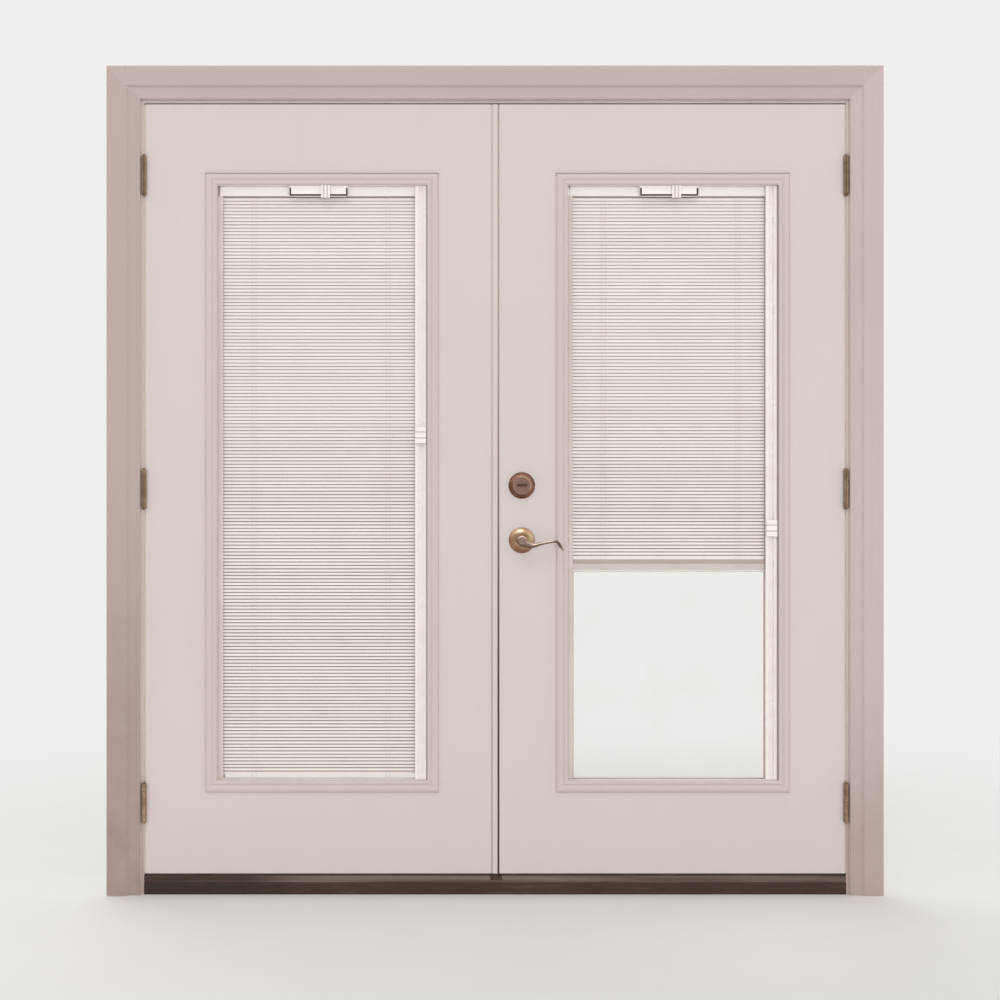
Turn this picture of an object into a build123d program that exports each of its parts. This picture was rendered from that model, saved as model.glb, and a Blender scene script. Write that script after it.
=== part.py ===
from build123d import *

import math
import os

# A pair of inward-opening french doors in their frame, with trim on the room side and slatted blinds
# sealed between the two panes of each leaf.
# X runs to the right as seen from the room, Y runs from the room to the outside, Z is up.
# The origin is on the underside of the sill, midway between the jambs, at the middle of a leaf's thickness.
# All lengths are in millimetres and all angles in degrees.

# Leaves and the gaps around them
leaf_width = 914.0
leaf_height = 2032.0
leaf_thickness = 44.5
side_gap = 3.0
head_gap = 3.0
floor_gap = 7.0
meeting_gap = 4.0
lock_bevel = 2.3
leaf_arris = 1.0

# Frame members
jamb_thickness = 19.3
jamb_depth = 116.0
stop_projection = 12.7
jamb_arris = 1.0
seal_depth = 5.0
seal_width = 11.0
seal_run = 0.3
seal_shoulder = 2.6

# Sill and the cap that the leaves close over
sill_height = 32.0
sill_shoulder = 28.0
sill_depth = 143.0
sill_nose = 12.0
sill_nose_run = 10.0
sill_edge = 2.5
tread_groove_count = 6
tread_groove_pitch = 9.0
tread_groove_width = 3.0
tread_groove_depth = 1.0
tread_groove_start = 44.0
cap_height = 17.0
cap_depth = 42.0
cap_edge = 2.0

# Room-side casing, measured outwards from its inner edge
casing_width = 89.0
casing_reveal = 8.0
casing_thick = 17.0
casing_inner_thick = 9.0
casing_bead_width = 10.5
casing_bead_thick = 12.5
casing_cove_end = 28.5
casing_cove_thick = 10.8
casing_step_end = 39.0
casing_round = 8.0

# Hinges
hinge_height = 102.0
hinge_inset = 188.0
hinge_plate = 2.5
hinge_plate_depth = 35.0
hinge_corner = 15.9
hinge_standoff = 7.0
barrel_radius = 6.5
pin_radius = 2.8
pin_clearance = 0.3
knuckle_gap = 0.4
knuckle_count = 5
pin_tip_radius = 4.4
pin_tip_height = 3.5

# Lite frame and sealed glass unit: how much of the leaf shows beside, above and below the frame
lite_side = 148.0
lite_top = 181.0
lite_bottom = 214.0
lite_band = 33.0
left_lite_shift = 10.0
right_lite_shift = 2.0
lite_proud = 10.0
lite_edge = 1.5
lite_bead_drop = 0.6
lite_groove_at = 12.0
lite_groove_width = 1.6
lite_groove_depth = 3.4
lite_leg = 6.0
lite_leg_clearance = 0.4
lite_halves_gap = 0.4
glass_bite = 13.0
glass_edge_clearance = 0.6
unit_thickness = 25.0
pane_thickness = 3.0
spacer_width = 8.0

# Blinds between the panes
slat_width = 12.5
slat_thickness = 0.3
slat_crown = 1.2
slat_pitch = 8.95
slat_tilt = 70.0
slat_end_gap = 12.0
gathered_pitch = 0.4
headrail_height = 25.0
headrail_depth = 16.0
headrail_wall = 1.2
headrail_overhang = 3.0
bottom_rail_height = 8.0
bottom_rail_edge = 1.5
rail_pin_radius = 1.5
rail_pin_length = 3.0
blind_clearance = 0.3
ladder_inset = 77.0
ladder_string_width = 1.2
ladder_string_depth = 0.8
left_blind_raised = 0.0
right_blind_raised = 553.0

# Raise track and slider beside each blind
track_width = 30.0
track_depth = 8.0
track_web = 2.2
track_fit = 0.3
track_slot = 11.0
track_rib = 2.0
track_rib_height = 1.0
raise_ratio = 2.25
slider_lowered_height = 911.0
slider_height = 44.0
slider_depth = 7.0
slider_rib_gap = 3.0
slider_rib_depth = 2.0
slider_foot_clearance = 0.6
carrier_width = 20.0
carrier_depth = 7.0
carrier_height = 40.0

# Tilt control at the head of each blind
tilt_track_width = 156.0
tilt_track_height = 28.0
tilt_corner = 9.0
tilt_lip = 1.6
tilt_slot_height = 3.2
tilt_slot_depth = 5.5
tilt_slot_rise = 20.0
tilt_knob_width = 24.0
tilt_knob_height = 33.0
tilt_knob_offset = 19.0
tilt_stem_width = 10.0
tilt_stem_clearance = 0.4

# Astragal on the meeting edge of the passive leaf
astragal_width = 17.0
astragal_proud = 2.0
astragal_groove_width = 4.2
astragal_groove_depth = 4.8
astragal_edge = 1.5
astragal_seal_width = 6.0
astragal_seal_proud = 2.2
astragal_seal_inset = 3.2
bolt_width = 8.4
bolt_depth = 7.0
bolt_length = 230.0
bolt_channel = 9.0
bolt_channel_depth = 8.0
bolt_channel_length = 262.0
bolt_setback = 2.0
bolt_tab_proud = 1.6
bolt_tab_height = 16.0
bolt_tab_from_tip = 190.0
bolt_nose = 1.5
top_bolt_throw = 17.0
bottom_bolt_throw = 20.0
strike_clearance = 0.5
strike_plate = 1.5
frame_strike_width = 30.0
frame_strike_depth = 24.0
frame_strike_lip = 10.5
foot_clearance = 0.5

# Door bottom sweeps
sweep_depth = 38.0
sweep_base = 2.4
sweep_fin = 1.2
sweep_fin_count = 3
sweep_clearance = 0.4
sweep_end_gap = 3.0

# Lock and latch in the active leaf
backset = 60.0
lever_height = 880.0
lock_spacing = 145.0
cross_bore = 54.0
edge_bore = 25.0
faceplate_width = 25.4
faceplate_height = 57.0
faceplate_thick = 2.0
case_radius = 11.5
case_bore = 8.3
case_length = 38.0
case_cheek = 8.0
case_eye_radius = 6.5
latch_radius = 8.0
latch_length = 30.0
latch_throw = 12.0
latch_bevel = 10.0
deadbolt_throw = 25.4
bolt_recess = 0.5
keeper_width = 24.0
keeper_height = 57.0
keeper_clearance = 1.0
keeper_pocket_extra = 1.5

# Lever set
lever_rose_radius = 34.0
lever_rose_thick = 11.0
lever_rose_flat = 3.0
lever_rose_swell = 2.2
lever_hub_radius = 11.0
lever_hub_run = 0.4
lever_stand = 42.0
lever_drum_radius = 13.5
lever_drum_thick = 17.0
lever_drum_edge = 5.0
lever_drum_flare = 4.0
lever_reach = 107.0
lever_tip_drop = 27.0
lever_root_drop = 12.5
lever_root_height = 20.0
lever_root_depth = 15.0
lever_neck_height = 7.6
lever_neck_depth = 9.0
lever_tip_height = 5.8
lever_tip_depth = 6.5
spindle_side = 8.0
spindle_clearance = 0.1
spindle_engagement = 16.0

# Deadbolt trim
lock_rose_radius = 35.0
lock_rose_face_radius = 25.0
lock_rose_thick = 14.0
lock_rose_rim = 2.8
lock_rose_edge = 2.0
lock_disc_radius = 24.0
lock_disc_thick = 3.0
thumb_length = 28.0
thumb_width = 8.0
thumb_corner = 3.4
thumb_height = 14.0
thumb_spindle_radius = 3.0
cylinder_radius = 11.0
cylinder_thick = 2.5
keyway_width = 2.0
keyway_height = 8.0
keyway_depth = 1.5

# Places worked out from the sizes above
room_face = -leaf_thickness / 2
outer_face = leaf_thickness / 2
half_meeting = (astragal_width + meeting_gap) / 2
astragal_face = half_meeting - meeting_gap
jamb_face = half_meeting + leaf_width + side_gap
frame_back = room_face + jamb_depth
stop_face = outer_face + seal_depth
cap_top = sill_height + cap_height
leaf_bottom = cap_top + floor_gap
leaf_top = leaf_bottom + leaf_height
head_face = leaf_top + head_gap
pin_x = jamb_face - side_gap / 2
pin_y = room_face - hinge_standoff
glass_width = leaf_width - 2 * (lite_side + lite_band)
glass_height = leaf_height - lite_top - lite_bottom - 2 * lite_band
glass_bottom = leaf_bottom + lite_bottom + lite_band
glass_top = glass_bottom + glass_height
glass_room_face = -unit_thickness / 2
cavity_half = unit_thickness / 2 - pane_thickness
spacer_inset = glass_bite - spacer_width
cutout_margin = glass_bite + glass_edge_clearance + lite_leg + lite_leg_clearance
track_face = glass_room_face - track_depth
slat_length = glass_width - slat_end_gap - track_width - blind_clearance
slat_centre = (slat_end_gap - track_width - blind_clearance) / 2
headrail_bottom = glass_top - headrail_height
rail_lowered = glass_bottom - spacer_inset + blind_clearance
lever_z = leaf_bottom + lever_height
lock_z = lever_z + lock_spacing
lock_x = half_meeting + backset
bolt_back = astragal_face - bolt_channel_depth


def across(side, near, far):
    """Two X values on one side of the centre line, in rising order."""
    return sorted((side * near, side * far))


def block(x_span, y_span, z_span):
    """A box between the given spans."""
    size = [span[1] - span[0] for span in (x_span, y_span, z_span)]
    middle = [(span[1] + span[0]) / 2 for span in (x_span, y_span, z_span)]
    return Pos(*middle) * Box(*size)


def prism_x(outline, x_span):
    """A face drawn in Y and Z, run along X."""
    return extrude(Plane.YZ.offset(x_span[0]) * outline, amount=x_span[1] - x_span[0])


def prism_y(outline, y_span):
    """A face drawn in X and Z, run along Y."""
    return extrude(Plane.XZ.offset(-y_span[1]) * outline, amount=y_span[1] - y_span[0])


def prism_z(outline, z_span):
    """A face drawn in X and Y, run along Z."""
    return extrude(Plane.XY.offset(z_span[0]) * outline, amount=z_span[1] - z_span[0])


def polygon(*points):
    """A flat face with straight edges through the given points."""
    return make_face(Polyline(*points, close=True))


def rod_x(radius, x_span, y, z):
    """A round bar along X."""
    return prism_x(Pos(y, z) * Circle(radius), x_span)


def rod_y(radius, y_span, x, z):
    """A round bar along Y."""
    return prism_y(Pos(x, z) * Circle(radius), y_span)


def rod_z(radius, z_span, x, y):
    """A round bar along Z."""
    return prism_z(Pos(x, y) * Circle(radius), z_span)


def edged_plate(width, height, edge, y_span, x, z):
    """A plate in X and Z with rounded corners."""
    return prism_y(Pos(x, z) * RectangleRounded(width, height, edge), y_span)


def turned(points, y_face, towards, x, z):
    """A round piece about an axis along Y, from (radius, height above y_face) pairs."""
    outline = polygon(*points)
    solid = revolve(Plane.XZ * outline, Axis.Z)
    tilt = 90 if towards < 0 else -90
    return Pos(x, y_face, z) * Rot(tilt, 0, 0) * solid


# Frame

def sill_outline():
    """Section of the sill: flat top under the leaves, then a slope that sheds water to the outside."""
    back = room_face + sill_depth
    return polygon(
        (room_face, 0),
        (room_face, sill_height - sill_edge),
        (room_face + sill_edge, sill_height),
        (outer_face, sill_height),
        (stop_face, sill_shoulder),
        (back - sill_nose_run, sill_nose + sill_edge),
        (back, sill_nose - sill_edge),
        (back, 0),
    )


def strike_hole(z_span):
    """The hole that an astragal bolt enters, in whatever it passes through."""
    x_span = (bolt_back - strike_clearance, bolt_back + bolt_channel_depth + strike_clearance)
    half = bolt_channel / 2 + strike_clearance
    return block(x_span, (-half, half), z_span)


def tread_grooves():
    """Grooves along the slope that keep a wet shoe from slipping."""
    run = room_face + sill_depth - sill_nose_run - stop_face
    fall = (sill_shoulder - sill_nose - sill_edge) / run
    half = tread_groove_width / 2
    grooves = []
    for index in range(tread_groove_count):
        middle = tread_groove_start + index * tread_groove_pitch
        surface = sill_shoulder - (middle - stop_face) * fall
        outline = polygon(
            (middle - half, surface - tread_groove_depth),
            (middle + half, surface - tread_groove_depth),
            (middle + half, sill_shoulder),
            (middle - half, sill_shoulder),
        )
        grooves.append(prism_x(outline, (-jamb_face, jamb_face)))
    return grooves


def make_sill():
    return prism_x(sill_outline(), (-jamb_face, jamb_face)) - tread_grooves()


def strike_x_span():
    middle = bolt_back + bolt_channel_depth / 2
    return (middle - frame_strike_width / 2, middle + frame_strike_width / 2)


def make_sill_cap():
    """The strip that the sweeps close over, recessed for the bottom strike."""
    half = cap_depth / 2
    outline = polygon(
        (-half, sill_height),
        (-half, cap_top - cap_edge),
        (-half + cap_edge, cap_top),
        (half - cap_edge, cap_top),
        (half, cap_top - cap_edge),
        (half, sill_height),
    )
    cap = prism_x(outline, (-jamb_face, jamb_face))
    recess = block(strike_x_span(), (-half, frame_strike_depth / 2), (cap_top - strike_plate, cap_top))
    hole_bottom = leaf_bottom + bolt_setback - bottom_bolt_throw - strike_clearance
    return cap - recess - strike_hole((hole_bottom, cap_top))


def make_side_jamb(side):
    """A jamb rebated for its leaf, coped over the sill and mortised for three hinges."""
    plate_outline = polygon(
        (side * jamb_face, frame_back),
        (side * jamb_face, room_face + jamb_arris),
        (side * (jamb_face + jamb_arris), room_face),
        (side * (jamb_face + jamb_thickness), room_face),
        (side * (jamb_face + jamb_thickness), frame_back),
    )
    plate = prism_z(plate_outline, (0, head_face + jamb_thickness))
    stop_outline = polygon(
        (side * jamb_face, frame_back),
        (side * jamb_face, stop_face),
        (side * (jamb_face - stop_projection + jamb_arris), stop_face),
        (side * (jamb_face - stop_projection), stop_face + jamb_arris),
        (side * (jamb_face - stop_projection), frame_back),
    )
    stop = prism_z(stop_outline, (0, head_face))
    jamb = plate + (stop - prism_x(sill_outline(), (-jamb_face, jamb_face)))
    for height in hinge_heights():
        jamb -= hinge_mortise(side, 1, height)
    return jamb


def make_head_jamb():
    """The head member between the jambs, with its stop and the pocket of the top bolt."""
    plate_outline = polygon(
        (room_face + jamb_arris, head_face),
        (frame_back, head_face),
        (frame_back, head_face + jamb_thickness),
        (room_face, head_face + jamb_thickness),
        (room_face, head_face + jamb_arris),
    )
    plate = prism_x(plate_outline, (-jamb_face, jamb_face))
    stop_half = jamb_face - stop_projection
    stop = block((-stop_half, stop_half), (stop_face, frame_back), (head_face - stop_projection, head_face))
    half_depth = frame_strike_depth / 2
    recess = block(strike_x_span(), (-half_depth, half_depth), (head_face, head_face + strike_plate))
    hole_top = leaf_top - bolt_setback + top_bolt_throw + strike_clearance
    return plate + stop - recess - strike_hole((head_face, hole_top))


def make_bolt_strikes():
    """Two strike plates for the astragal bolts: flat at the head, bent over the sill cap at the foot."""
    half_depth = frame_strike_depth / 2
    top = block(strike_x_span(), (-half_depth, half_depth), (head_face, head_face + strike_plate))
    top -= strike_hole((head_face, head_face + strike_plate))
    flat = block(strike_x_span(), (-cap_depth / 2, half_depth), (cap_top - strike_plate, cap_top))
    lip_y = (-cap_depth / 2 - strike_plate, -cap_depth / 2)
    lip = block(strike_x_span(), lip_y, (cap_top - frame_strike_lip, cap_top))
    bottom = flat + lip - strike_hole((cap_top - strike_plate, cap_top))
    return [top, bottom]


def seal_outline(width, depth):
    """Section of a foam strip: square back in the corner of the rebate, round nose towards the leaf."""
    nose = depth - seal_shoulder
    edges = Polyline((0, 0), (width, 0), (width, depth - nose))
    edges += ThreePointArc((width, depth - nose), (width / 2, depth), (0, depth - nose))
    edges += Line((0, depth - nose), (0, 0))
    return make_face(edges)


def make_weatherstrips():
    """Foam strips in the rebate of both jambs and the head."""
    depth = seal_depth - seal_run
    strips = []
    for side in (-1, 1):
        edge = side * jamb_face - (seal_width if side > 0 else 0)
        outline = Pos(edge, stop_face) * mirror(seal_outline(seal_width, depth), about=Plane.XZ)
        strips.append(prism_z(outline, (sill_height + seal_run, head_face)))
    turned_outline = Rot(0, 0, 90) * seal_outline(seal_width, depth)
    head = Pos(stop_face, head_face - seal_width) * turned_outline
    half = jamb_face - seal_width
    strips.append(prism_x(head, (-half, half)))
    return strips


# Casing

def casing_outline():
    """Section of the trim: distance out from the opening, and thickness off the wall."""
    bead_top = (casing_bead_width / 2, casing_bead_thick)
    run = casing_step_end - casing_cove_end
    rise = casing_thick - casing_cove_thick
    rise_middle = (casing_cove_end + run / 2, casing_cove_thick + rise / 2)
    hollow = (casing_cove_end + run * 0.36, casing_cove_thick + rise * 0.17)
    swell = (casing_step_end - run * 0.36, casing_thick - rise * 0.17)
    shoulder = casing_width - casing_round
    corner = casing_round * (1 - math.sqrt(0.5))
    edges = Line((0, 0), (0, casing_inner_thick))
    edges += ThreePointArc((0, casing_inner_thick), bead_top, (casing_bead_width, casing_cove_thick))
    edges += Line((casing_bead_width, casing_cove_thick), (casing_cove_end, casing_cove_thick))
    edges += ThreePointArc((casing_cove_end, casing_cove_thick), hollow, rise_middle)
    edges += ThreePointArc(rise_middle, swell, (casing_step_end, casing_thick))
    edges += Line((casing_step_end, casing_thick), (shoulder, casing_thick))
    edges += ThreePointArc(
        (shoulder, casing_thick),
        (casing_width - corner, casing_thick - corner),
        (casing_width, casing_thick - casing_round),
    )
    edges += Polyline((casing_width, casing_thick - casing_round), (casing_width, 0), (0, 0))
    return make_face(edges)


def make_side_casing(side):
    """An upright of the trim, standing on the floor and mitred at its head."""
    inner = jamb_face + casing_reveal
    top = head_face + casing_reveal
    outline = mirror(casing_outline(), about=Plane.XZ)
    if side < 0:
        outline = mirror(outline, about=Plane.YZ)
    upright = prism_z(Pos(side * inner, room_face) * outline, (0, top + casing_width))
    outer = inner + casing_width
    peak = top + casing_width
    wedge = polygon((side * inner, top), (side * outer, peak), (side * inner, peak))
    return upright - prism_y(wedge, (room_face - casing_thick, room_face))


def make_head_casing():
    """The head of the trim, mitred at both ends."""
    inner = jamb_face + casing_reveal
    top = head_face + casing_reveal
    outer = inner + casing_width
    outline = Rot(0, 0, 90) * casing_outline()
    rail = prism_x(Pos(room_face, top) * outline, (-outer, outer))
    for side in (-1, 1):
        wedge = polygon((side * inner, top), (side * outer, top + casing_width), (side * outer, top))
        rail -= prism_y(wedge, (room_face - casing_thick, room_face))
    return rail


# Hinges

def hinge_heights():
    """Heights of the middles of the three hinges."""
    return (
        leaf_bottom + hinge_inset,
        (leaf_bottom + leaf_top) / 2,
        leaf_top - hinge_inset,
    )


def hinge_plate_span(side, towards_jamb):
    """X span of a hinge plate, let in flush with the leaf's edge or with the jamb."""
    if towards_jamb > 0:
        return across(side, jamb_face, jamb_face + hinge_plate)
    edge = jamb_face - side_gap
    return across(side, edge - hinge_plate, edge)


def hinge_mortise(side, towards_jamb, height):
    """A hinge plate's own shape, with its two deep corners rounded as the router leaves the mortise."""
    outline = Pos(room_face + hinge_plate_depth / 2, height) * Rectangle(hinge_plate_depth, hinge_height)
    deep = outline.vertices().group_by(Axis.X)[-1]
    outline = fillet(deep, hinge_corner)
    return prism_x(outline, hinge_plate_span(side, towards_jamb))


def make_hinge_leaf(side, towards_jamb, height):
    """One plate of a butt hinge with its share of the knuckles, bored for the pin."""
    span = hinge_plate_span(side, towards_jamb)
    bottom = height - hinge_height / 2
    plate = hinge_mortise(side, towards_jamb, height)
    knuckle = (hinge_height - knuckle_gap * (knuckle_count - 1)) / knuckle_count
    first = 0 if towards_jamb > 0 else 1
    for index in range(first, knuckle_count, 2):
        foot = bottom + index * (knuckle + knuckle_gap)
        z_span = (foot, foot + knuckle)
        barrel = rod_z(barrel_radius, z_span, side * pin_x, pin_y)
        neck = block(span, (pin_y, room_face), z_span)
        bore = rod_z(pin_radius + pin_clearance, z_span, side * pin_x, pin_y)
        plate += barrel + neck - bore
    return plate


def make_hinge_pin(side, height):
    """A loose pin with a button tip at each end of the barrel."""
    half = hinge_height / 2
    shank = rod_z(pin_radius, (height - half, height + half), side * pin_x, pin_y)
    for end in (-1, 1):
        z_span = sorted((height + end * half, height + end * (half + pin_tip_height)))
        tip = rod_z(pin_tip_radius, z_span, side * pin_x, pin_y)
        shank += tip
    return shank


# Leaves

def lite_centre(side):
    """X of the middle of a leaf's glass."""
    shift = left_lite_shift if side < 0 else right_lite_shift
    return side * (half_meeting + leaf_width / 2) + shift


def glass_block(side, margin, y_span):
    """A box with the outline of the visible glass, grown by a margin."""
    middle = lite_centre(side)
    half = glass_width / 2 + margin
    return block((middle - half, middle + half), y_span, (glass_bottom - margin, glass_top + margin))


def make_slab(side):
    """A leaf: cut out for its lite, mortised for hinges, and bored for the locks if it is the active one."""
    edge = jamb_face - side_gap
    bevel = lock_bevel if side > 0 else 0
    arris = leaf_arris
    outline = polygon(
        (side * half_meeting, room_face + arris),
        (side * (half_meeting + arris), room_face),
        (side * (edge - arris), room_face),
        (side * edge, room_face + arris),
        (side * edge, outer_face - arris),
        (side * (edge - arris), outer_face),
        (side * (half_meeting + bevel + arris), outer_face),
        (side * (half_meeting + bevel), outer_face - arris),
    )
    slab = prism_z(outline, (leaf_bottom, leaf_top))
    slab -= glass_block(side, cutout_margin, (room_face, outer_face))
    for height in hinge_heights():
        slab -= hinge_mortise(side, -1, height)
    if side > 0:
        for height in (lever_z, lock_z):
            slab -= rod_y(cross_bore / 2, (room_face, outer_face), lock_x, height)
            slab -= rod_x(edge_bore / 2, (half_meeting, lock_x), 0, height)
            slab -= faceplate(height)
    else:
        slab -= deadbolt_pocket()
    return slab


def lite_outline():
    """Section of the room-side half of the lite frame: distance out from the glass, and Y."""
    crest = room_face - lite_proud
    groove_far = lite_groove_at + lite_groove_width
    floor = crest + lite_groove_depth
    leg_in = glass_bite + glass_edge_clearance
    leg_out = leg_in + lite_leg
    bead_mid = (lite_groove_at / 2, crest + lite_bead_drop)
    hump_mid = ((groove_far + lite_band) / 2, crest)
    edge = room_face - lite_edge
    edges = Polyline((0, glass_room_face), (0, edge))
    edges += ThreePointArc((0, edge), bead_mid, (lite_groove_at, floor))
    edges += Line((lite_groove_at, floor), (groove_far, floor))
    edges += ThreePointArc((groove_far, floor), hump_mid, (lite_band, edge))
    edges += Polyline(
        (lite_band, edge),
        (lite_band, room_face),
        (leg_out, room_face),
        (leg_out, -lite_halves_gap / 2),
        (leg_in, -lite_halves_gap / 2),
        (leg_in, glass_room_face),
        (0, glass_room_face),
    )
    return make_face(edges)


def make_lite_frame(side, towards):
    """One half of the frame that clamps the glass unit, mitred at its corners."""
    middle = lite_centre(side)
    half_width = glass_width / 2
    half_height = glass_height / 2
    centre_z = (glass_bottom + glass_top) / 2
    outline = lite_outline()
    reach = (-half_width - lite_band, half_width + lite_band)
    rail = prism_x(Pos(0, half_height) * Rot(0, 0, 90) * mirror(outline, about=Plane.XZ), reach)
    rail_mitre = polygon(
        (-half_width, half_height),
        (half_width, half_height),
        (half_width + lite_band, half_height + lite_band),
        (-half_width - lite_band, half_height + lite_band),
    )
    rail &= prism_y(rail_mitre, (room_face - lite_proud, 0))
    height = (-half_height - lite_band, half_height + lite_band)
    stile = prism_z(Pos(half_width, 0) * outline, height)
    stile_mitre = polygon(
        (half_width, -half_height),
        (half_width, half_height),
        (half_width + lite_band, half_height + lite_band),
        (half_width + lite_band, -half_height - lite_band),
    )
    stile &= prism_y(stile_mitre, (room_face - lite_proud, 0))
    ring = rail + mirror(rail, about=Plane.XY) + stile + mirror(stile, about=Plane.YZ)
    if towards > 0:
        ring = mirror(ring, about=Plane.XZ)
    return Pos(middle, 0, centre_z) * ring


def make_pane(side, towards):
    """One sheet of the sealed glass unit."""
    y_span = sorted((towards * cavity_half, towards * unit_thickness / 2))
    return glass_block(side, glass_bite, y_span)


def make_spacer(side):
    """The bar that holds the two panes apart all round."""
    y_span = (-cavity_half, cavity_half)
    return glass_block(side, glass_bite, y_span) - glass_block(side, spacer_inset, y_span)


def make_sweep(side):
    """A vinyl strip under a leaf, with fins that brush the sill cap."""
    x_span = across(side, half_meeting + sweep_end_gap, jamb_face - side_gap - sweep_end_gap)
    half = sweep_depth / 2
    sweep = block(x_span, (-half, half), (leaf_bottom - sweep_base, leaf_bottom))
    step = (sweep_depth - sweep_fin) / (sweep_fin_count - 1)
    for index in range(sweep_fin_count):
        y = -half + index * step
        sweep += block(x_span, (y, y + sweep_fin), (cap_top + sweep_clearance, leaf_bottom - sweep_base))
    return sweep


# Blinds

def rail_bottom(raised):
    """Underside of a bottom rail that has been lifted by the given height."""
    return rail_lowered + raised


def slat_half_height():
    """Half the height that one tilted slat takes up."""
    tilt = math.radians(slat_tilt)
    return slat_width / 2 * math.sin(tilt) + slat_thickness * math.cos(tilt)


def slat_total():
    """How many slats fill the drop when the blind is down."""
    drop = headrail_bottom - rail_lowered - bottom_rail_height
    free = drop - 2 * (slat_half_height() + blind_clearance)
    return int(free / slat_pitch) + 1


def spread_slats(raised):
    """How many slats still hang apart when the bottom rail has been lifted."""
    drop = headrail_bottom - rail_bottom(raised) - bottom_rail_height
    free = drop - 2 * (slat_half_height() + blind_clearance) + slat_pitch - slat_total() * gathered_pitch
    return min(slat_total(), int(free / (slat_pitch - gathered_pitch)))


def gathered_top(raised):
    """Top of the slats that lie gathered on the bottom rail."""
    gathered = slat_total() - spread_slats(raised)
    return rail_bottom(raised) + bottom_rail_height + gathered * gathered_pitch


def slat_outline():
    """Section of one crowned slat in three flats, tilted shut with its room edge down."""
    points = []
    for share in (-1, -1 / 3, 1 / 3, 1):
        points.append((share * slat_width / 2, slat_crown * (1 - share ** 2)))
    points += [(u, v - slat_thickness) for u, v in reversed(points)]
    return Rot(0, 0, slat_tilt) * polygon(*points)


def blind_x_span(side, overhang=0.0):
    """X span of a blind's slats, or of a piece that is longer at both ends."""
    middle = lite_centre(side) + slat_centre
    half = slat_length / 2 + overhang
    return (middle - half, middle + half)


def make_slats(side, raised):
    """Every slat of a blind: those that hang apart, and those gathered on the bottom rail."""
    x_span = blind_x_span(side)
    hanging = prism_x(slat_outline(), x_span)
    slats = []
    first = headrail_bottom - blind_clearance - slat_half_height()
    for index in range(spread_slats(raised)):
        slats.append(Pos(0, 0, first - slat_pitch * index) * hanging)
    gathered = slat_total() - spread_slats(raised)
    foot = rail_bottom(raised) + bottom_rail_height + gathered_pitch - slat_thickness
    for index in range(gathered):
        z = foot + index * gathered_pitch
        slats.append(block(x_span, (-slat_width / 2, slat_width / 2), (z, z + slat_thickness)))
    return slats


def make_ladders(side, raised):
    """Front and back strings of the two ladders, drawn out round the gathered slats."""
    tilted = slat_width / 2 * math.cos(math.radians(slat_tilt))
    tilted += slat_thickness * math.sin(math.radians(slat_tilt)) + blind_clearance
    wide = slat_width / 2 + blind_clearance
    foot = rail_bottom(raised) + bottom_rail_height + blind_clearance
    head = headrail_bottom - blind_clearance
    waist = gathered_top(raised) + blind_clearance
    depth = ladder_string_depth
    if waist > foot + depth:
        outline = polygon(
            (wide, foot),
            (wide + depth, foot),
            (wide + depth, waist + depth),
            (tilted + depth, waist + depth),
            (tilted + depth, head),
            (tilted, head),
            (tilted, waist),
            (wide, waist),
        )
    else:
        outline = polygon((tilted, foot), (tilted + depth, foot), (tilted + depth, head), (tilted, head))
    strings = []
    ends = blind_x_span(side)
    for x in (ends[0] + ladder_inset, ends[1] - ladder_inset):
        string = prism_x(outline, (x - ladder_string_width / 2, x + ladder_string_width / 2))
        strings.append(string)
        strings.append(mirror(string, about=Plane.XZ))
    return strings


def make_headrail(side):
    """The channel at the head of a blind, open at the top, under the spacer."""
    half = headrail_depth / 2
    top = glass_top + spacer_inset
    shell = block(blind_x_span(side, headrail_overhang), (-half, half), (headrail_bottom, top))
    inner = half - headrail_wall
    hollow = block(
        blind_x_span(side, headrail_overhang - headrail_wall),
        (-inner, inner),
        (headrail_bottom + headrail_wall, top),
    )
    return shell - hollow


def make_bottom_rail(side, raised):
    """The weighted bar under the slats, with a guide pin at each end."""
    half = slat_width / 2
    foot = rail_bottom(raised)
    top = foot + bottom_rail_height
    edge = bottom_rail_edge
    outline = polygon(
        (-half, foot + edge),
        (-half + edge, foot),
        (half - edge, foot),
        (half, foot + edge),
        (half, top - edge),
        (half - edge, top),
        (-half + edge, top),
        (-half, top - edge),
    )
    rail = prism_x(outline, blind_x_span(side))
    pins = rod_x(rail_pin_radius, blind_x_span(side, rail_pin_length), 0, (foot + top) / 2)
    return rail + pins


def track_x_span(side):
    """X span of the raise track, against the right edge of the visible glass."""
    edge = lite_centre(side) + glass_width / 2 - track_fit
    return (edge - track_width + track_fit, edge)


def make_raise_track(side):
    """The ribbed channel beside the blind that the raise slider runs in."""
    x0, x1 = track_x_span(side)
    middle = (x0 + x1) / 2
    half_slot = track_slot / 2
    crest = track_face - track_rib_height
    outline = [(x0, glass_room_face), (x0, crest), (x0 + track_rib, crest), (x0 + track_rib, track_face)]
    outline += [(middle - half_slot - track_rib, track_face), (middle - half_slot - track_rib, crest)]
    outline += [(middle - half_slot, crest), (middle - half_slot, glass_room_face - track_web)]
    outline += [(2 * middle - x, y) for x, y in reversed(outline)]
    return prism_z(polygon(*outline), (glass_bottom + track_fit, glass_top - track_fit))


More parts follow.
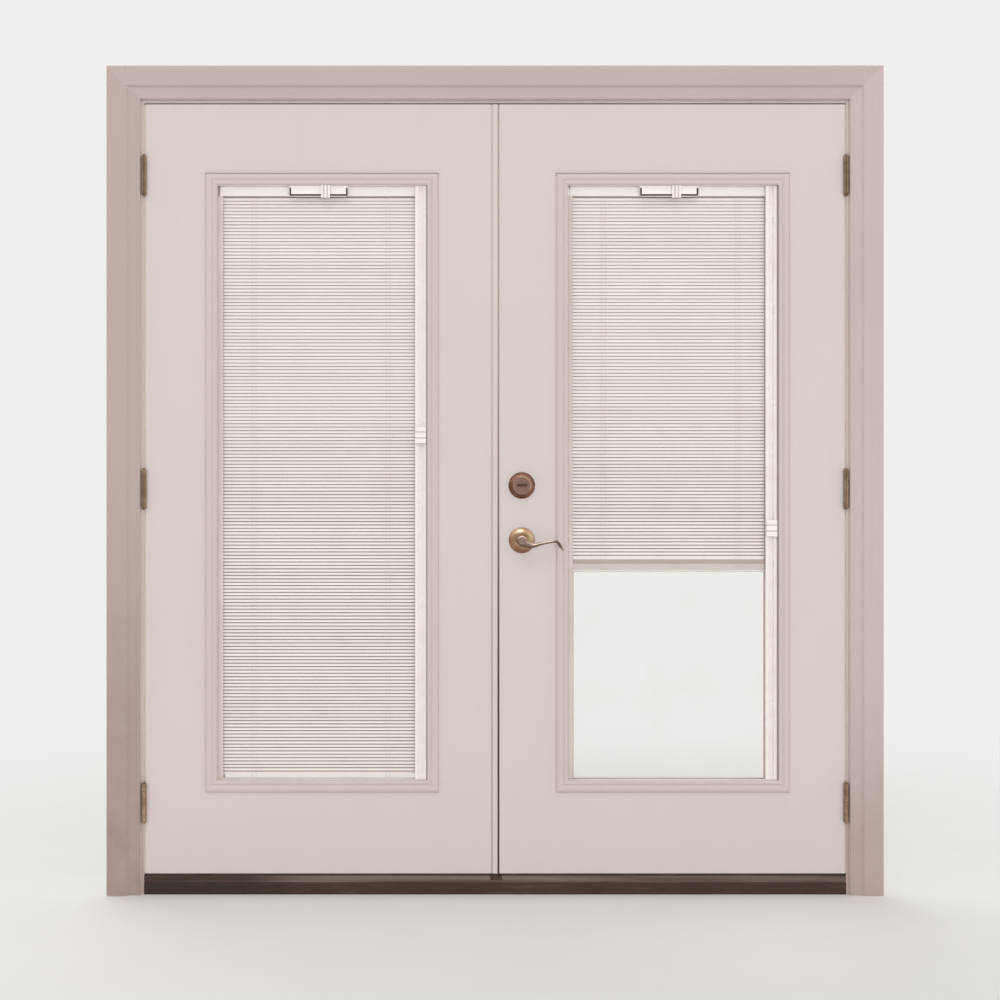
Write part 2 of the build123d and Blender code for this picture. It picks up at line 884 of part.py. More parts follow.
def make_raise_slider(side, raised):
    """The ribbed grip on the track, and the magnet carrier that it drags behind the room-side pane."""
    x0, x1 = track_x_span(side)
    middle = (x0 + x1) / 2
    height = glass_bottom + slider_lowered_height - raised / raise_ratio
    z_span = (height - slider_height / 2, height + slider_height / 2)
    back = track_face - track_rib_height - track_fit
    front = back - slider_depth
    grip = block((x0, x1), (front, back), z_span)
    rib = (slider_height - 2 * slider_rib_gap) / 3
    for index in (1, 2):
        foot = z_span[0] + index * rib + (index - 1) * slider_rib_gap
        grip -= block((x0, x1), (front, front + slider_rib_depth), (foot, foot + slider_rib_gap))
    half_foot = track_slot / 2 - slider_foot_clearance
    foot_y = (back, glass_room_face - track_web - slider_foot_clearance)
    grip += block((middle - half_foot, middle + half_foot), foot_y, z_span)
    carrier_y = (-cavity_half + blind_clearance, -cavity_half + blind_clearance + carrier_depth)
    carrier_z = (height - carrier_height / 2, height + carrier_height / 2)
    carrier = block((middle - carrier_width / 2, middle + carrier_width / 2), carrier_y, carrier_z)
    return [grip, carrier]


def tilt_outline(side, inset):
    """Face of the tilt housing, with round lower corners, drawn in at its foot and ends by an inset."""
    middle = lite_centre(side) + slat_centre
    top = glass_top - track_fit
    foot = top - tilt_track_height + inset
    outline = Pos(middle, (top + foot) / 2) * Rectangle(tilt_track_width - 2 * inset, top - foot)
    lower = outline.vertices().group_by(Axis.Y)[0]
    return fillet(lower, tilt_corner - inset)


def make_tilt_track(side):
    """The housing at the head of the glass, with a slot along its foot that turns up at both ends."""
    housing = extrude(Plane.XZ.offset(-glass_room_face) * tilt_outline(side, 0), amount=track_depth)
    slot = tilt_outline(side, tilt_lip) - tilt_outline(side, tilt_lip + tilt_slot_height)
    foot = glass_top - track_fit - tilt_track_height
    window = Pos(lite_centre(side) + slat_centre, foot + tilt_slot_rise / 2)
    slot &= window * Rectangle(tilt_track_width, tilt_slot_rise)
    slot_floor = Plane.XZ.offset(-(track_face + tilt_slot_depth))
    return housing - extrude(slot_floor * slot, amount=tilt_slot_depth)


def make_tilt_slider(side):
    """The grip in the tilt slot, with two grooves for the fingers."""
    middle = lite_centre(side) + slat_centre + tilt_knob_offset
    level = glass_top - track_fit - tilt_track_height + tilt_lip + tilt_slot_height / 2
    back = track_face - track_fit
    front = back - slider_depth
    top = glass_top - track_fit
    half = tilt_knob_width / 2
    grip_z = (top - tilt_knob_height, top)
    grip = block((middle - half, middle + half), (front, back), grip_z)
    rib = (tilt_knob_width - 2 * slider_rib_gap) / 3
    for index in (1, 2):
        x = middle - half + index * rib + (index - 1) * slider_rib_gap
        grip -= block((x, x + slider_rib_gap), (front, front + slider_rib_depth), grip_z)
    half_stem = tilt_stem_width / 2
    half_rise = tilt_slot_height / 2 - tilt_stem_clearance
    stem_y = (back, track_face + tilt_slot_depth - tilt_stem_clearance)
    stem_z = (level - half_rise, level + half_rise)
    return grip + block((middle - half_stem, middle + half_stem), stem_y, stem_z)


# Astragal

def astragal_outline():
    """Section of the astragal: a shadow groove beside the passive leaf, then its face."""
    front = room_face - astragal_proud
    groove_x = -half_meeting + astragal_groove_width
    groove_y = front + astragal_groove_depth
    edge = astragal_edge
    return polygon(
        (-half_meeting, groove_y),
        (groove_x, groove_y),
        (groove_x, front + edge),
        (groove_x + edge, front),
        (astragal_face - edge, front),
        (astragal_face, front + edge),
        (astragal_face, outer_face - edge),
        (astragal_face - edge, outer_face),
        (-half_meeting, outer_face),
    )


def bolt_channel_box(z_span):
    half = bolt_channel / 2
    return block((bolt_back, astragal_face), (-half, half), z_span)


def keeper_opening(height, radius, depth):
    """The hole for a bolt in the edge that faces the active leaf."""
    half = radius + keeper_clearance
    x_span = (astragal_face - depth, astragal_face)
    return block(x_span, (-half, half), (height - half, height + half))


def deadbolt_pocket():
    """How far the thrown deadbolt reaches through the astragal and into the passive leaf."""
    depth = deadbolt_throw - meeting_gap + keeper_pocket_extra
    return keeper_opening(lock_z, latch_radius, depth)


def latch_pocket():
    depth = latch_throw - meeting_gap + keeper_pocket_extra
    return keeper_opening(lever_z, latch_radius, depth)


def make_astragal():
    """The strip on the meeting edge, with channels for its bolts and pockets for the lock and latch."""
    strip = prism_z(astragal_outline(), (leaf_bottom, leaf_top))
    strip -= bolt_channel_box((leaf_top - bolt_channel_length, leaf_top))
    strip -= bolt_channel_box((leaf_bottom, leaf_bottom + bolt_channel_length))
    for height in (lever_z, lock_z):
        strip -= keeper_blank(height)
    return strip - latch_pocket() - deadbolt_pocket()


def keeper_blank(height):
    x_span = (astragal_face - strike_plate, astragal_face)
    half_width = keeper_width / 2
    half_height = keeper_height / 2
    return block(x_span, (-half_width, half_width), (height - half_height, height + half_height))


def make_keepers():
    """Strike plates for the latch and the deadbolt, let in flush with the astragal."""
    latch = keeper_blank(lever_z) - keeper_opening(lever_z, latch_radius, strike_plate)
    lock = keeper_blank(lock_z) - keeper_opening(lock_z, latch_radius, strike_plate)
    return [latch, lock]


def make_astragal_seal():
    """A soft bead along the outer part of the meeting edge."""
    y1 = outer_face - astragal_seal_inset
    y0 = y1 - astragal_seal_width
    front = astragal_face + astragal_seal_proud
    edges = ThreePointArc((astragal_face, y0), (front, (y0 + y1) / 2), (astragal_face, y1))
    edges += Line((astragal_face, y1), (astragal_face, y0))
    return prism_z(make_face(edges), (leaf_bottom, leaf_top))


def make_astragal_bolt(end):
    """A flush bolt in its channel, drawn back, with a tab for the finger."""
    tip = leaf_top - bolt_setback if end > 0 else leaf_bottom + bolt_setback
    x_span = (bolt_back + blind_clearance, bolt_back + blind_clearance + bolt_depth)
    half = bolt_width / 2
    tail = tip - end * bolt_length
    bar = block(x_span, (-half, half), sorted((tip, tail)))
    nose = bar.faces().sort_by(Axis.Z)[-1 if end > 0 else 0]
    bar = chamfer(nose.edges(), bolt_nose)
    tab_x = (x_span[1], astragal_face + bolt_tab_proud)
    tab_near = tip - end * bolt_tab_from_tip
    tab_far = tab_near - end * bolt_tab_height
    return bar + block(tab_x, (-half, half), sorted((tab_near, tab_far)))


def make_astragal_foot():
    """The rubber pad that closes the gap under the astragal, pierced for the bottom bolt."""
    z_span = (cap_top + foot_clearance, leaf_bottom)
    pad = block((-half_meeting, astragal_face), (room_face, outer_face), z_span)
    return pad - bolt_channel_box(z_span)


# Lock and latch

def meeting_edge_x(y):
    """X of the active leaf's sloped meeting edge at a given depth."""
    return half_meeting + lock_bevel * (y - room_face) / leaf_thickness


def faceplate(height):
    """The plate of a lock case, let in flush with the sloped meeting edge."""
    half_width = faceplate_width / 2
    half_height = faceplate_height / 2
    outline = polygon(
        (meeting_edge_x(-half_width), -half_width),
        (meeting_edge_x(half_width), half_width),
        (meeting_edge_x(half_width) + faceplate_thick, half_width),
        (meeting_edge_x(-half_width) + faceplate_thick, -half_width),
    )
    return prism_z(outline, (height - half_height, height + half_height))


def make_lock_case(height):
    """A tubular case in the edge of the active leaf: plate, tube and cheeks round the spindle."""
    tube_front = meeting_edge_x(0) + faceplate_thick / 2
    tube_back = half_meeting + case_length
    tube = rod_x(case_radius, (tube_front, tube_back), 0, height)
    cheek_x = (tube_back, lock_x + case_radius)
    cheek = block(cheek_x, (-case_cheek, case_cheek), (height - case_radius, height + case_radius))
    front_trim = faceplate(height) + tube + cheek
    bore = rod_x(case_bore, (half_meeting, tube_back), 0, height)
    eye = rod_y(case_eye_radius, (-case_cheek, case_cheek), lock_x, height)
    return front_trim - bore - eye


def bolt_front():
    """X of the nose of a drawn-back bolt, just behind the slope of the meeting edge."""
    return half_meeting + lock_bevel / 2 + bolt_recess


def make_latch_bolt():
    """The spring latch, drawn back, with its nose sloped on the side that meets the strike first."""
    front = bolt_front()
    bolt = rod_x(latch_radius, (front, front + latch_length), 0, lever_z)
    wedge = polygon(
        (front, latch_radius),
        (front + latch_bevel, latch_radius),
        (front, -latch_radius / 2),
    )
    return bolt - prism_z(wedge, (lever_z - latch_radius, lever_z + latch_radius))


def make_deadbolt():
    """The deadbolt, drawn back."""
    front = bolt_front()
    bolt = rod_x(latch_radius, (front, half_meeting + case_length - bolt_recess), 0, lock_z)
    nose = bolt.faces().sort_by(Axis.X)[0]
    return chamfer(nose.edges(), bolt_nose)


def make_lever_rose(towards):
    """A domed rose over the cross bore, open for the hub of the lever."""
    bore = lever_hub_radius + lever_hub_run
    outer = lever_rose_radius
    thick = lever_rose_thick
    rim = thick * 0.25
    flat = bore + lever_rose_flat
    on_dome = ((outer + flat) / 2, (rim + thick) / 2 + lever_rose_swell)
    edges = Polyline((bore, 0), (outer, 0), (outer, rim))
    edges += ThreePointArc((outer, rim), on_dome, (flat, thick))
    edges += Polyline((flat, thick), (bore, thick), (bore, 0))
    rose = revolve(Plane.XZ * make_face(edges), Axis.Z)
    tilt = 90 if towards < 0 else -90
    return Pos(lock_x, towards * leaf_thickness / 2, lever_z) * Rot(tilt, 0, 0) * rose


def lever_section(x, z, height, depth, heading):
    """One elliptical section of the lever arm, square to its run."""
    angle = math.radians(heading)
    plane = Plane(origin=(x, 0, z), x_dir=(0, 1, 0), z_dir=(math.cos(angle), 0, math.sin(angle)))
    return plane * Ellipse(depth / 2, height / 2)


def lever_arm():
    """The arm: broad at the hub, thin along its reach, with its end curled down.

    Each station is a share of the reach, a drop below the hub, a height, a depth and a heading.
    """
    mid_height = (lever_root_height + lever_neck_height) / 2
    mid_depth = (lever_root_depth + lever_neck_depth) / 2
    stations = (
        (-0.03, lever_root_drop * 0.3, lever_root_height, lever_root_depth, -25),
        (0.11, lever_root_drop * 0.75, lever_root_height * 0.95, lever_root_depth * 0.9, -20),
        (0.24, lever_root_drop, mid_height, mid_depth, -2),
        (0.4, lever_root_drop * 0.8, mid_height * 0.68, mid_depth * 0.85, 11),
        (0.56, lever_root_drop * 0.46, lever_neck_height, lever_neck_depth, 13),
        (0.72, lever_root_drop * 0.2, lever_neck_height, lever_neck_depth, 6),
        (0.84, lever_root_drop * 0.16, lever_neck_height, lever_neck_depth, -10),
        (0.9, lever_tip_drop * 0.27, lever_neck_height, lever_neck_depth, -52),
        (0.945, lever_tip_drop * 0.57, lever_neck_height, lever_neck_depth, -62),
        (1.0, lever_tip_drop, lever_tip_height, lever_tip_depth, -58),
    )
    sections = []
    for share, drop, height, depth, heading in stations:
        sections.append(lever_section(share * lever_reach, -drop, height, depth, heading))
    return loft(sections)


def make_lever(towards):
    """A lever with its hub, bored square for the spindle."""
    foot = lever_stand - lever_drum_thick / 2
    crest = lever_stand + lever_drum_thick / 2
    edge = lever_drum_edge
    slope = edge * math.sqrt(0.5)
    shoulder = (lever_drum_radius - edge + slope, crest - edge + slope)
    edges = Polyline((0, 0), (lever_hub_radius, 0), (lever_hub_radius, foot - lever_drum_flare))
    edges += Line((lever_hub_radius, foot - lever_drum_flare), (lever_drum_radius, foot))
    edges += Line((lever_drum_radius, foot), (lever_drum_radius, crest - edge))
    edges += ThreePointArc((lever_drum_radius, crest - edge), shoulder, (lever_drum_radius - edge, crest))
    edges += Polyline((lever_drum_radius - edge, crest), (0, crest), (0, 0))
    hub = revolve(Plane.XZ * make_face(edges), Axis.Z)
    hub = Rot(90, 0, 0) * hub
    lever = hub + Pos(0, -lever_stand, 0) * lever_arm()
    side = spindle_side + 2 * spindle_clearance
    socket = block((-side / 2, side / 2), (-spindle_engagement, 0), (-side / 2, side / 2))
    lever = lever - socket
    if towards > 0:
        lever = mirror(lever, about=Plane.XZ)
    return Pos(lock_x, towards * (leaf_thickness / 2 + lever_hub_run), lever_z) * lever


def make_spindle():
    """The square bar through the leaf that joins the two levers."""
    reach = leaf_thickness / 2 + lever_hub_run + spindle_engagement - spindle_clearance
    half = spindle_side / 2
    return block((lock_x - half, lock_x + half), (-reach, reach), (lever_z - half, lever_z + half))


def lock_rose(towards, bore):
    """A coned rose over the deadbolt's cross bore."""
    outer = lock_rose_radius
    points = (
        (bore, 0),
        (outer, 0),
        (outer, lock_rose_rim),
        (outer - lock_rose_edge, lock_rose_rim + lock_rose_edge),
        (lock_rose_face_radius, lock_rose_thick),
        (bore, lock_rose_thick),
    )
    return turned(points, towards * leaf_thickness / 2, towards, lock_x, lock_z)


def make_lock_roses():
    """Roses of the deadbolt: an open one for the thumb turn, and one with the key cylinder outside."""
    inside = lock_rose(-1, thumb_spindle_radius + lever_hub_run)
    outside = lock_rose(1, 0)
    face = outer_face + lock_rose_thick
    outside += rod_y(cylinder_radius, (face, face + cylinder_thick), lock_x, lock_z)
    keyway_x = (lock_x - keyway_width / 2, lock_x + keyway_width / 2)
    keyway_z = (lock_z - keyway_height / 2, lock_z + keyway_height / 2)
    outside -= block(keyway_x, (face + cylinder_thick - keyway_depth, face + cylinder_thick), keyway_z)
    return [inside, outside]


def make_thumb_turn():
    """The thumb turn: a disc with a bar across it, on a spindle into the deadbolt's case."""
    face = room_face - lock_rose_thick - lever_hub_run
    disc = rod_y(lock_disc_radius, (face - lock_disc_thick, face), lock_x, lock_z)
    bar_y = (face - lock_disc_thick - thumb_height, face - lock_disc_thick)
    bar = edged_plate(thumb_length, thumb_width, thumb_corner, bar_y, lock_x, lock_z)
    spindle = rod_y(thumb_spindle_radius, (face, case_cheek), lock_x, lock_z)
    return disc + bar + spindle


def build_nodes():
    """Every node of the assembly by name: one shape, or a list of separate solids."""
    nodes = {
        "sill": make_sill(),
        "sill_cap": make_sill_cap(),
        "left_jamb": make_side_jamb(-1),
        "right_jamb": make_side_jamb(1),
        "head_jamb": make_head_jamb(),
        "casing_left": make_side_casing(-1),
        "casing_right": make_side_casing(1),
        "casing_head": make_head_casing(),
        "weatherstrips": make_weatherstrips(),
        "bolt_strikes": make_bolt_strikes(),
        "astragal": make_astragal(),
        "astragal_seal": make_astragal_seal(),
        "astragal_foot": make_astragal_foot(),
        "astragal_strikes": make_keepers(),
        "astragal_top_bolt": make_astragal_bolt(1),
        "astragal_bottom_bolt": make_astragal_bolt(-1),
        "latch_case": make_lock_case(lever_z),
        "latch_bolt": make_latch_bolt(),
        "deadbolt_case": make_lock_case(lock_z),
        "deadbolt": make_deadbolt(),
        "deadbolt_roses": make_lock_roses(),
        "thumb_turn": make_thumb_turn(),
        "lever_roses": [make_lever_rose(-1), make_lever_rose(1)],
        "inside_lever": make_lever(-1),
        "outside_lever": make_lever(1),
        "lever_spindle": make_spindle(),
    }
    sides = (("left", -1, left_blind_raised), ("right", 1, right_blind_raised))
    nodes["jamb_hinge_leaves"] = [
        make_hinge_leaf(side, 1, height) for _, side, _ in sides for height in hinge_heights()
    ]
    nodes["hinge_pins"] = [
        make_hinge_pin(side, height) for _, side, _ in sides for height in hinge_heights()
    ]
    for name, side, raised in sides:
        nodes[name + "_hinge_leaves"] = [make_hinge_leaf(side, -1, height) for height in hinge_heights()]
        nodes[name + "_slab"] = make_slab(side)
        nodes[name + "_lite_frame_inside"] = make_lite_frame(side, -1)
        nodes[name + "_lite_frame_outside"] = make_lite_frame(side, 1)
        nodes[name + "_glass_inside"] = make_pane(side, -1)
        nodes[name + "_glass_outside"] = make_pane(side, 1)
        nodes[name + "_glass_spacer"] = make_spacer(side)
        nodes[name + "_sweep"] = make_sweep(side)
        nodes[name + "_blind_slats"] = make_slats(side, raised)
        nodes[name + "_blind_ladders"] = make_ladders(side, raised)
        nodes[name + "_blind_headrail"] = make_headrail(side)
        nodes[name + "_blind_bottom_rail"] = make_bottom_rail(side, raised)
        nodes[name + "_raise_track"] = make_raise_track(side)
        nodes[name + "_raise_slider"] = make_raise_slider(side, raised)
        nodes[name + "_tilt_track"] = make_tilt_track(side)
        nodes[name + "_tilt_slider"] = make_tilt_slider(side)
    return nodes


os.makedirs("parts", exist_ok=True)
for node_name, shape in build_nodes().items():
    if isinstance(shape, list):
        shape = Compound(children=shape)
    export_step(shape, os.path.join("parts", node_name + ".step"))
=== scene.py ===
import math

import bmesh
import bpy
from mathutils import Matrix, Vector


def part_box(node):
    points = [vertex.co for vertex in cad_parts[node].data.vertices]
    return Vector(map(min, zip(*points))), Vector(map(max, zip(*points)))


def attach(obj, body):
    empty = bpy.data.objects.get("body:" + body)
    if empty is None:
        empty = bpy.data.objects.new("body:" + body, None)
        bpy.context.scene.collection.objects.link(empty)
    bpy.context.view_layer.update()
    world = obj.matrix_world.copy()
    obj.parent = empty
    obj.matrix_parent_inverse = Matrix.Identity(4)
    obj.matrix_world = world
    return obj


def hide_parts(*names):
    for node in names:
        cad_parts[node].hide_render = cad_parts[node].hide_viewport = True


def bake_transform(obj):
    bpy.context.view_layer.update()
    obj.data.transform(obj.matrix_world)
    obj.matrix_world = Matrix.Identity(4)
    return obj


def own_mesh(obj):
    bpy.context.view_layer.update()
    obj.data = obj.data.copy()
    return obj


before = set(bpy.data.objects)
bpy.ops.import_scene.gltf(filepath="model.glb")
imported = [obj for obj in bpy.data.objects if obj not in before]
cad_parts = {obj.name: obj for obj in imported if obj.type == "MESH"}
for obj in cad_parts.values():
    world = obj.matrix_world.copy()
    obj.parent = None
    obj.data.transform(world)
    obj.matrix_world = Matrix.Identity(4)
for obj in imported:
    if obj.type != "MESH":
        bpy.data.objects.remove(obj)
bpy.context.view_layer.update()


# Jambs and head of the frame: rebated lengths of primed pine, coped and nailed together at the corners,
# then brushed with a warm off-white satin paint on site.

def chart(red, green, blue):
    """A colour from a paint chart, in the linear values that shaders use."""
    linear = []
    for part in (red, green, blue):
        part /= 255
        linear.append(part / 12.92 if part <= 0.04045 else ((part + 0.055) / 1.055) ** 2.4)
    return (*linear, 1.0)


def feed(node, inputs):
    """Sets or links a node's sockets. A colour is given as on a paint chart."""
    for key, value in inputs.items():
        socket = node.inputs[key]
        if isinstance(value, bpy.types.NodeSocket):
            node.id_data.links.new(value, socket)
        else:
            socket.default_value = chart(*value) if socket.type == "RGBA" else value


def add(kind, inputs, tree=None, **settings):
    """One node with its settings made and its sockets fed, in the tree that its inputs come from."""
    if tree is None:
        tree = next(value.id_data for value in inputs.values() if isinstance(value, bpy.types.NodeSocket))
    made = tree.nodes.new(kind)
    for name, value in settings.items():
        setattr(made, name, value)
    feed(made, inputs)
    return made


def out(kind, inputs, tree=None, **settings):
    """The first result of a new node."""
    return add(kind, inputs, tree, **settings).outputs[0]


def work_out(operation, *values):
    """The result of one sum."""
    return out("ShaderNodeMath", dict(enumerate(values)), operation=operation)


def times(first, second):
    """Two values multiplied."""
    return work_out("MULTIPLY", first, second)


def plus(first, second):
    """Two values added."""
    return work_out("ADD", first, second)


def minus(first, second):
    """The second value taken from the first."""
    return work_out("SUBTRACT", first, second)


def larger(first, second):
    """The larger of two values."""
    return work_out("MAXIMUM", first, second)


def unsigned(value):
    """A value without its sign."""
    return work_out("ABSOLUTE", value)


def on_vector(operation, *values):
    """The result of one sum on vectors."""
    made = add("ShaderNodeVectorMath", dict(enumerate(values)), operation=operation)
    return made.outputs["Value" if operation in ("LENGTH", "DOT_PRODUCT") else "Vector"]


def parts_of(vector):
    """The three parts of a vector."""
    return add("ShaderNodeSeparateXYZ", {0: vector}).outputs


def vector_of(parts):
    """A vector from its parts by number, with the rest nought."""
    return out("ShaderNodeCombineXYZ", parts)


def spot_on(tree, what="Object"):
    """Where a point of the surface lies, or the way that it faces."""
    return add("ShaderNodeTexCoord", {}, tree).outputs[what]


def mixed(share, first, second):
    """Two colours mixed by a share of the second."""
    return add("ShaderNodeMix", {0: share, 6: first, 7: second}, data_type="RGBA").outputs[2]


def spread(value, low, high, to_low=0.0, to_high=1.0):
    """A value brought from one range into another, with soft ends."""
    sockets = {"Value": value, "From Min": low, "From Max": high, "To Min": to_low, "To Max": to_high}
    return out("ShaderNodeMapRange", sockets, interpolation_type="SMOOTHSTEP")


def noise(place, scale, detail=3.0, roughness=0.5):
    """A cloud of values round 0.5 at a given number of lumps to the metre."""
    sockets = {"Vector": place, "Scale": scale, "Detail": detail, "Roughness": roughness}
    return out("ShaderNodeTexNoise", sockets)


def streaks(place, lumps, detail=3.0, roughness=0.5):
    """A cloud drawn out into streaks, by its number of lumps to the metre each way."""
    return noise(on_vector("MULTIPLY", place, lumps), 1.0, detail, roughness)


def node_group(kind, name, inputs, outputs):
    """An empty node group, with its sockets told by a value or by their kind, and its two end nodes."""
    tree = bpy.data.node_groups.new(name, kind)
    kinds = {int: "NodeSocketInt", float: "NodeSocketFloat", tuple: "NodeSocketVector"}
    for label, value in inputs.items():
        if isinstance(value, str):
            tree.interface.new_socket(label, in_out="INPUT", socket_type=value)
            continue
        colour = isinstance(value, tuple) and isinstance(value[0], int)
        socket_type = "NodeSocketColor" if colour else kinds[type(value)]
        socket = tree.interface.new_socket(label, in_out="INPUT", socket_type=socket_type)
        socket.default_value = chart(*value) if colour else value
    for label, value in outputs.items():
        tree.interface.new_socket(label, in_out="OUTPUT", socket_type=value)
    return tree, tree.nodes.new("NodeGroupInput").outputs, tree.nodes.new("NodeGroupOutput")


def surface_group(name, inputs):
    """An empty shader group that works out the colour, roughness and height of a surface."""
    outputs = {"Colour": "NodeSocketColor", "Roughness": "NodeSocketFloat", "Height": "NodeSocketFloat"}
    return node_group("ShaderNodeTree", name, inputs, outputs)


def paint_film():
    """A film of paint: cloudy in tone, darker low down with dirt and painted shade, with the texture that
    the brush or roller left.
    """
    tree, given, result = surface_group("paint film", {
        "Paint": (213, 203, 202), "Shade": (200, 188, 185), "Soil And Shade": (170, 150, 140),
        "Soil Height": 0.4, "Stroke": (60.0, 60.0, 2.0),
    })
    place = spot_on(tree)
    cloud = spread(noise(place, 1.6, 4.0), 0.35, 0.7)
    strokes = streaks(place, given["Stroke"])
    stipple = noise(place, 420.0, 2.0)
    toned = mixed(times(cloud, 0.55), given["Paint"], given["Shade"])
    streaked = mixed(spread(strokes, 0.45, 0.75, 0.0, 0.3), toned, given["Shade"])
    # Darker towards the bottom: dirt, and painted shade where the light falls off low down.
    reach = work_out("DIVIDE", parts_of(place)[2], given["Soil Height"])
    patch = spread(noise(place, 7.0, 5.0, 0.6), 0.2, 0.8, 0.55, 1.0)
    soil_and_shade = times(times(spread(reach, 1.0, 0.0), patch), 0.75)
    tone = mixed(soil_and_shade, streaked, given["Soil And Shade"])
    rough = plus(plus(times(strokes, 0.1), times(soil_and_shade, 0.25)), 0.38)
    film = plus(strokes, times(stipple, 0.35))
    feed(result, {"Colour": tone, "Roughness": rough, "Height": film})
    return tree


paint = paint_film()


def finish_of(name):
    """A new material, its node tree and its main shader."""
    material = bpy.data.materials.new(name)
    material.use_nodes = True
    return material, material.node_tree, material.node_tree.nodes["Principled BSDF"]


def coat(shader, colour, rough, height=None, depth=0.0, strength=0.3):
    """Gives a shader its colour, its roughness and a surface texture with a depth in metres."""
    feed(shader, {"Base Color": colour, "Roughness": rough})
    if depth > 0:
        sockets = {"Height": height, "Distance": depth, "Strength": strength}
        feed(shader, {"Normal": out("ShaderNodeBump", sockets)})


def lay_over(material, share, colour):
    """Lays another colour over a finish by a share."""
    shader = material.node_tree.nodes["Principled BSDF"]
    under = shader.inputs["Base Color"].links[0].from_socket
    feed(shader, {"Base Color": mixed(share, under, colour)})


def painted(name, colour, shade, soil_and_shade, soil_and_shade_height, stroke, depth):
    """A painted finish, with the texture's depth in metres."""
    material, tree, shader = finish_of(name)
    given = {"Paint": colour, "Shade": shade, "Soil And Shade": soil_and_shade, "Soil Height": soil_and_shade_height, "Stroke": stroke}
    film = add("ShaderNodeGroup", given, tree, node_tree=paint).outputs
    coat(shader, film["Colour"], film["Roughness"], film["Height"], depth, 0.6)
    feed(shader, {"Specular IOR Level": 0.4})
    return material


def edges_toned(material, jamb_edge, meeting_top=None, meeting_foot=None):
    """Gives upright edges one tone near the jambs and, where the leaves meet, two down their height:
    painted light and shade in the gaps.
    """
    tree = material.node_tree
    jamb_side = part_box("right_slab")[1].x
    facing = parts_of(spot_on(tree, "Normal"))[0]
    place = parts_of(spot_on(tree))
    eased_edge = times(spread(place[0], 0.0085, 0.0095), spread(place[0], 0.014, 0.013))
    least = spread(eased_edge, 0.0, 1.0, 0.8, 0.5)
    sideways = spread(minus(unsigned(facing), least), 0.0, 0.15)
    outer = spread(unsigned(place[0]), jamb_side - 0.02, jamb_side - 0.01)
    down = spread(place[2], 1.6, 0.4)
    meeting = mixed(down, meeting_top or jamb_edge, meeting_foot or jamb_edge)
    lay_over(material, sideways, mixed(outer, meeting, jamb_edge))


def dress(material, *names):
    """Gives CAD nodes a material."""
    for name in names:
        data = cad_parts[name].data
        data.materials.clear()
        data.materials.append(material)


jamb_paint = painted(
    "jamb satin paint", (206, 190, 187), (197, 180, 176), (166, 144, 134),
    soil_and_shade_height=0.5, stroke=(90.0, 90.0, 3.0), depth=0.00025,
)
head_paint = painted(
    "head satin paint", (206, 191, 189), (198, 181, 178), (160, 138, 126),
    soil_and_shade_height=0.01, stroke=(3.0, 90.0, 90.0), depth=0.00025,
)
primer_and_painted_light = (252, 247, 242)
# The jamb edges by the leaves are white primer, and are also kept pale as painted light in the shaded gap.
edges_toned(jamb_paint, primer_and_painted_light)
dress(jamb_paint, "left_jamb", "right_jamb")
dress(head_paint, "head_jamb")


# Sill: a composite core wrapped in dark bronze film, with grip grooves on the slope to the outside.
# It is screwed down under both jambs, and shoes have scuffed it along the room side.

sill_film, tree, shader = finish_of("dark bronze sill film")
place = spot_on(tree)
scuffs = spread(streaks(place, (6.0, 140.0, 140.0), 4.0, 0.6), 0.56, 0.72)
dust_and_shade = spread(noise(place, 9.0, 5.0, 0.65), 0.4, 0.75)
# The left end is painted darker: painted shade.
left_end = spread(parts_of(place)[0], -0.45, -0.68, 0.0, 0.75)
tone = mixed(times(dust_and_shade, 0.4), (60, 38, 28), (82, 59, 47))
tone = mixed(times(scuffs, 0.4), tone, (120, 98, 84))
tone = mixed(left_end, tone, (42, 29, 24))
coat(shader, tone, plus(times(dust_and_shade, 0.3), 0.36), scuffs, depth=0.0002, strength=0.5)
dress(sill_film, "sill")


# Sill cap: an extruded aluminium strip that the sweeps close over, screwed to the sill.
# Its mill finish has dulled, and grit has scratched it along its length.

cap_metal, tree, shader = finish_of("weathered mill aluminium")
place = spot_on(tree)
scratches = spread(streaks(place, (3.0, 900.0, 900.0), 4.0, 0.7), 0.5, 0.68)
tarnish = spread(streaks(place, (2.0, 60.0, 60.0), 5.0, 0.6), 0.35, 0.7)
across = parts_of(place)[0]
# The left end is painted darker as painted shade, and the strip is a little darker towards the right.
left_end = spread(across, -0.45, -0.68, 0.0, 0.8)
darker_ends = larger(left_end, spread(across, 0.1, 0.4, 0.0, 0.3))
tone = mixed(tarnish, (142, 124, 118), (106, 89, 82))
tone = mixed(times(scratches, 0.35), tone, (176, 158, 148))
tone = mixed(darker_ends, tone, (70, 55, 50))
rough = spread(tarnish, 0.0, 1.0, 0.35, 0.6)
coat(shader, tone, rough, scratches, depth=0.0001, strength=0.4)
feed(shader, {"Metallic": 0.7})
dress(cap_metal, "sill_cap")


# Weatherstrips: foam with a thin beige skin, pressed into the rebates, with a slim strip down each hinge
# side. The astragal's two beads, which the active leaf presses flat, its foot pad and the sweeps are vinyl.

def rubbery(name, colour, pale, rough):
    """A matt, slightly bloomed rubber or vinyl."""
    material, tree, shader = finish_of(name)
    place = spot_on(tree)
    bloom = spread(noise(place, 18.0, 5.0, 0.65), 0.4, 0.75)
    grain = noise(place, 900.0, 2.0)
    tone = mixed(times(bloom, 0.6), colour, pale)
    uneven = spread(grain, 0.2, 0.8, rough - 0.08, rough + 0.08)
    coat(shader, tone, uneven, grain, depth=0.00015, strength=0.4)
    return material


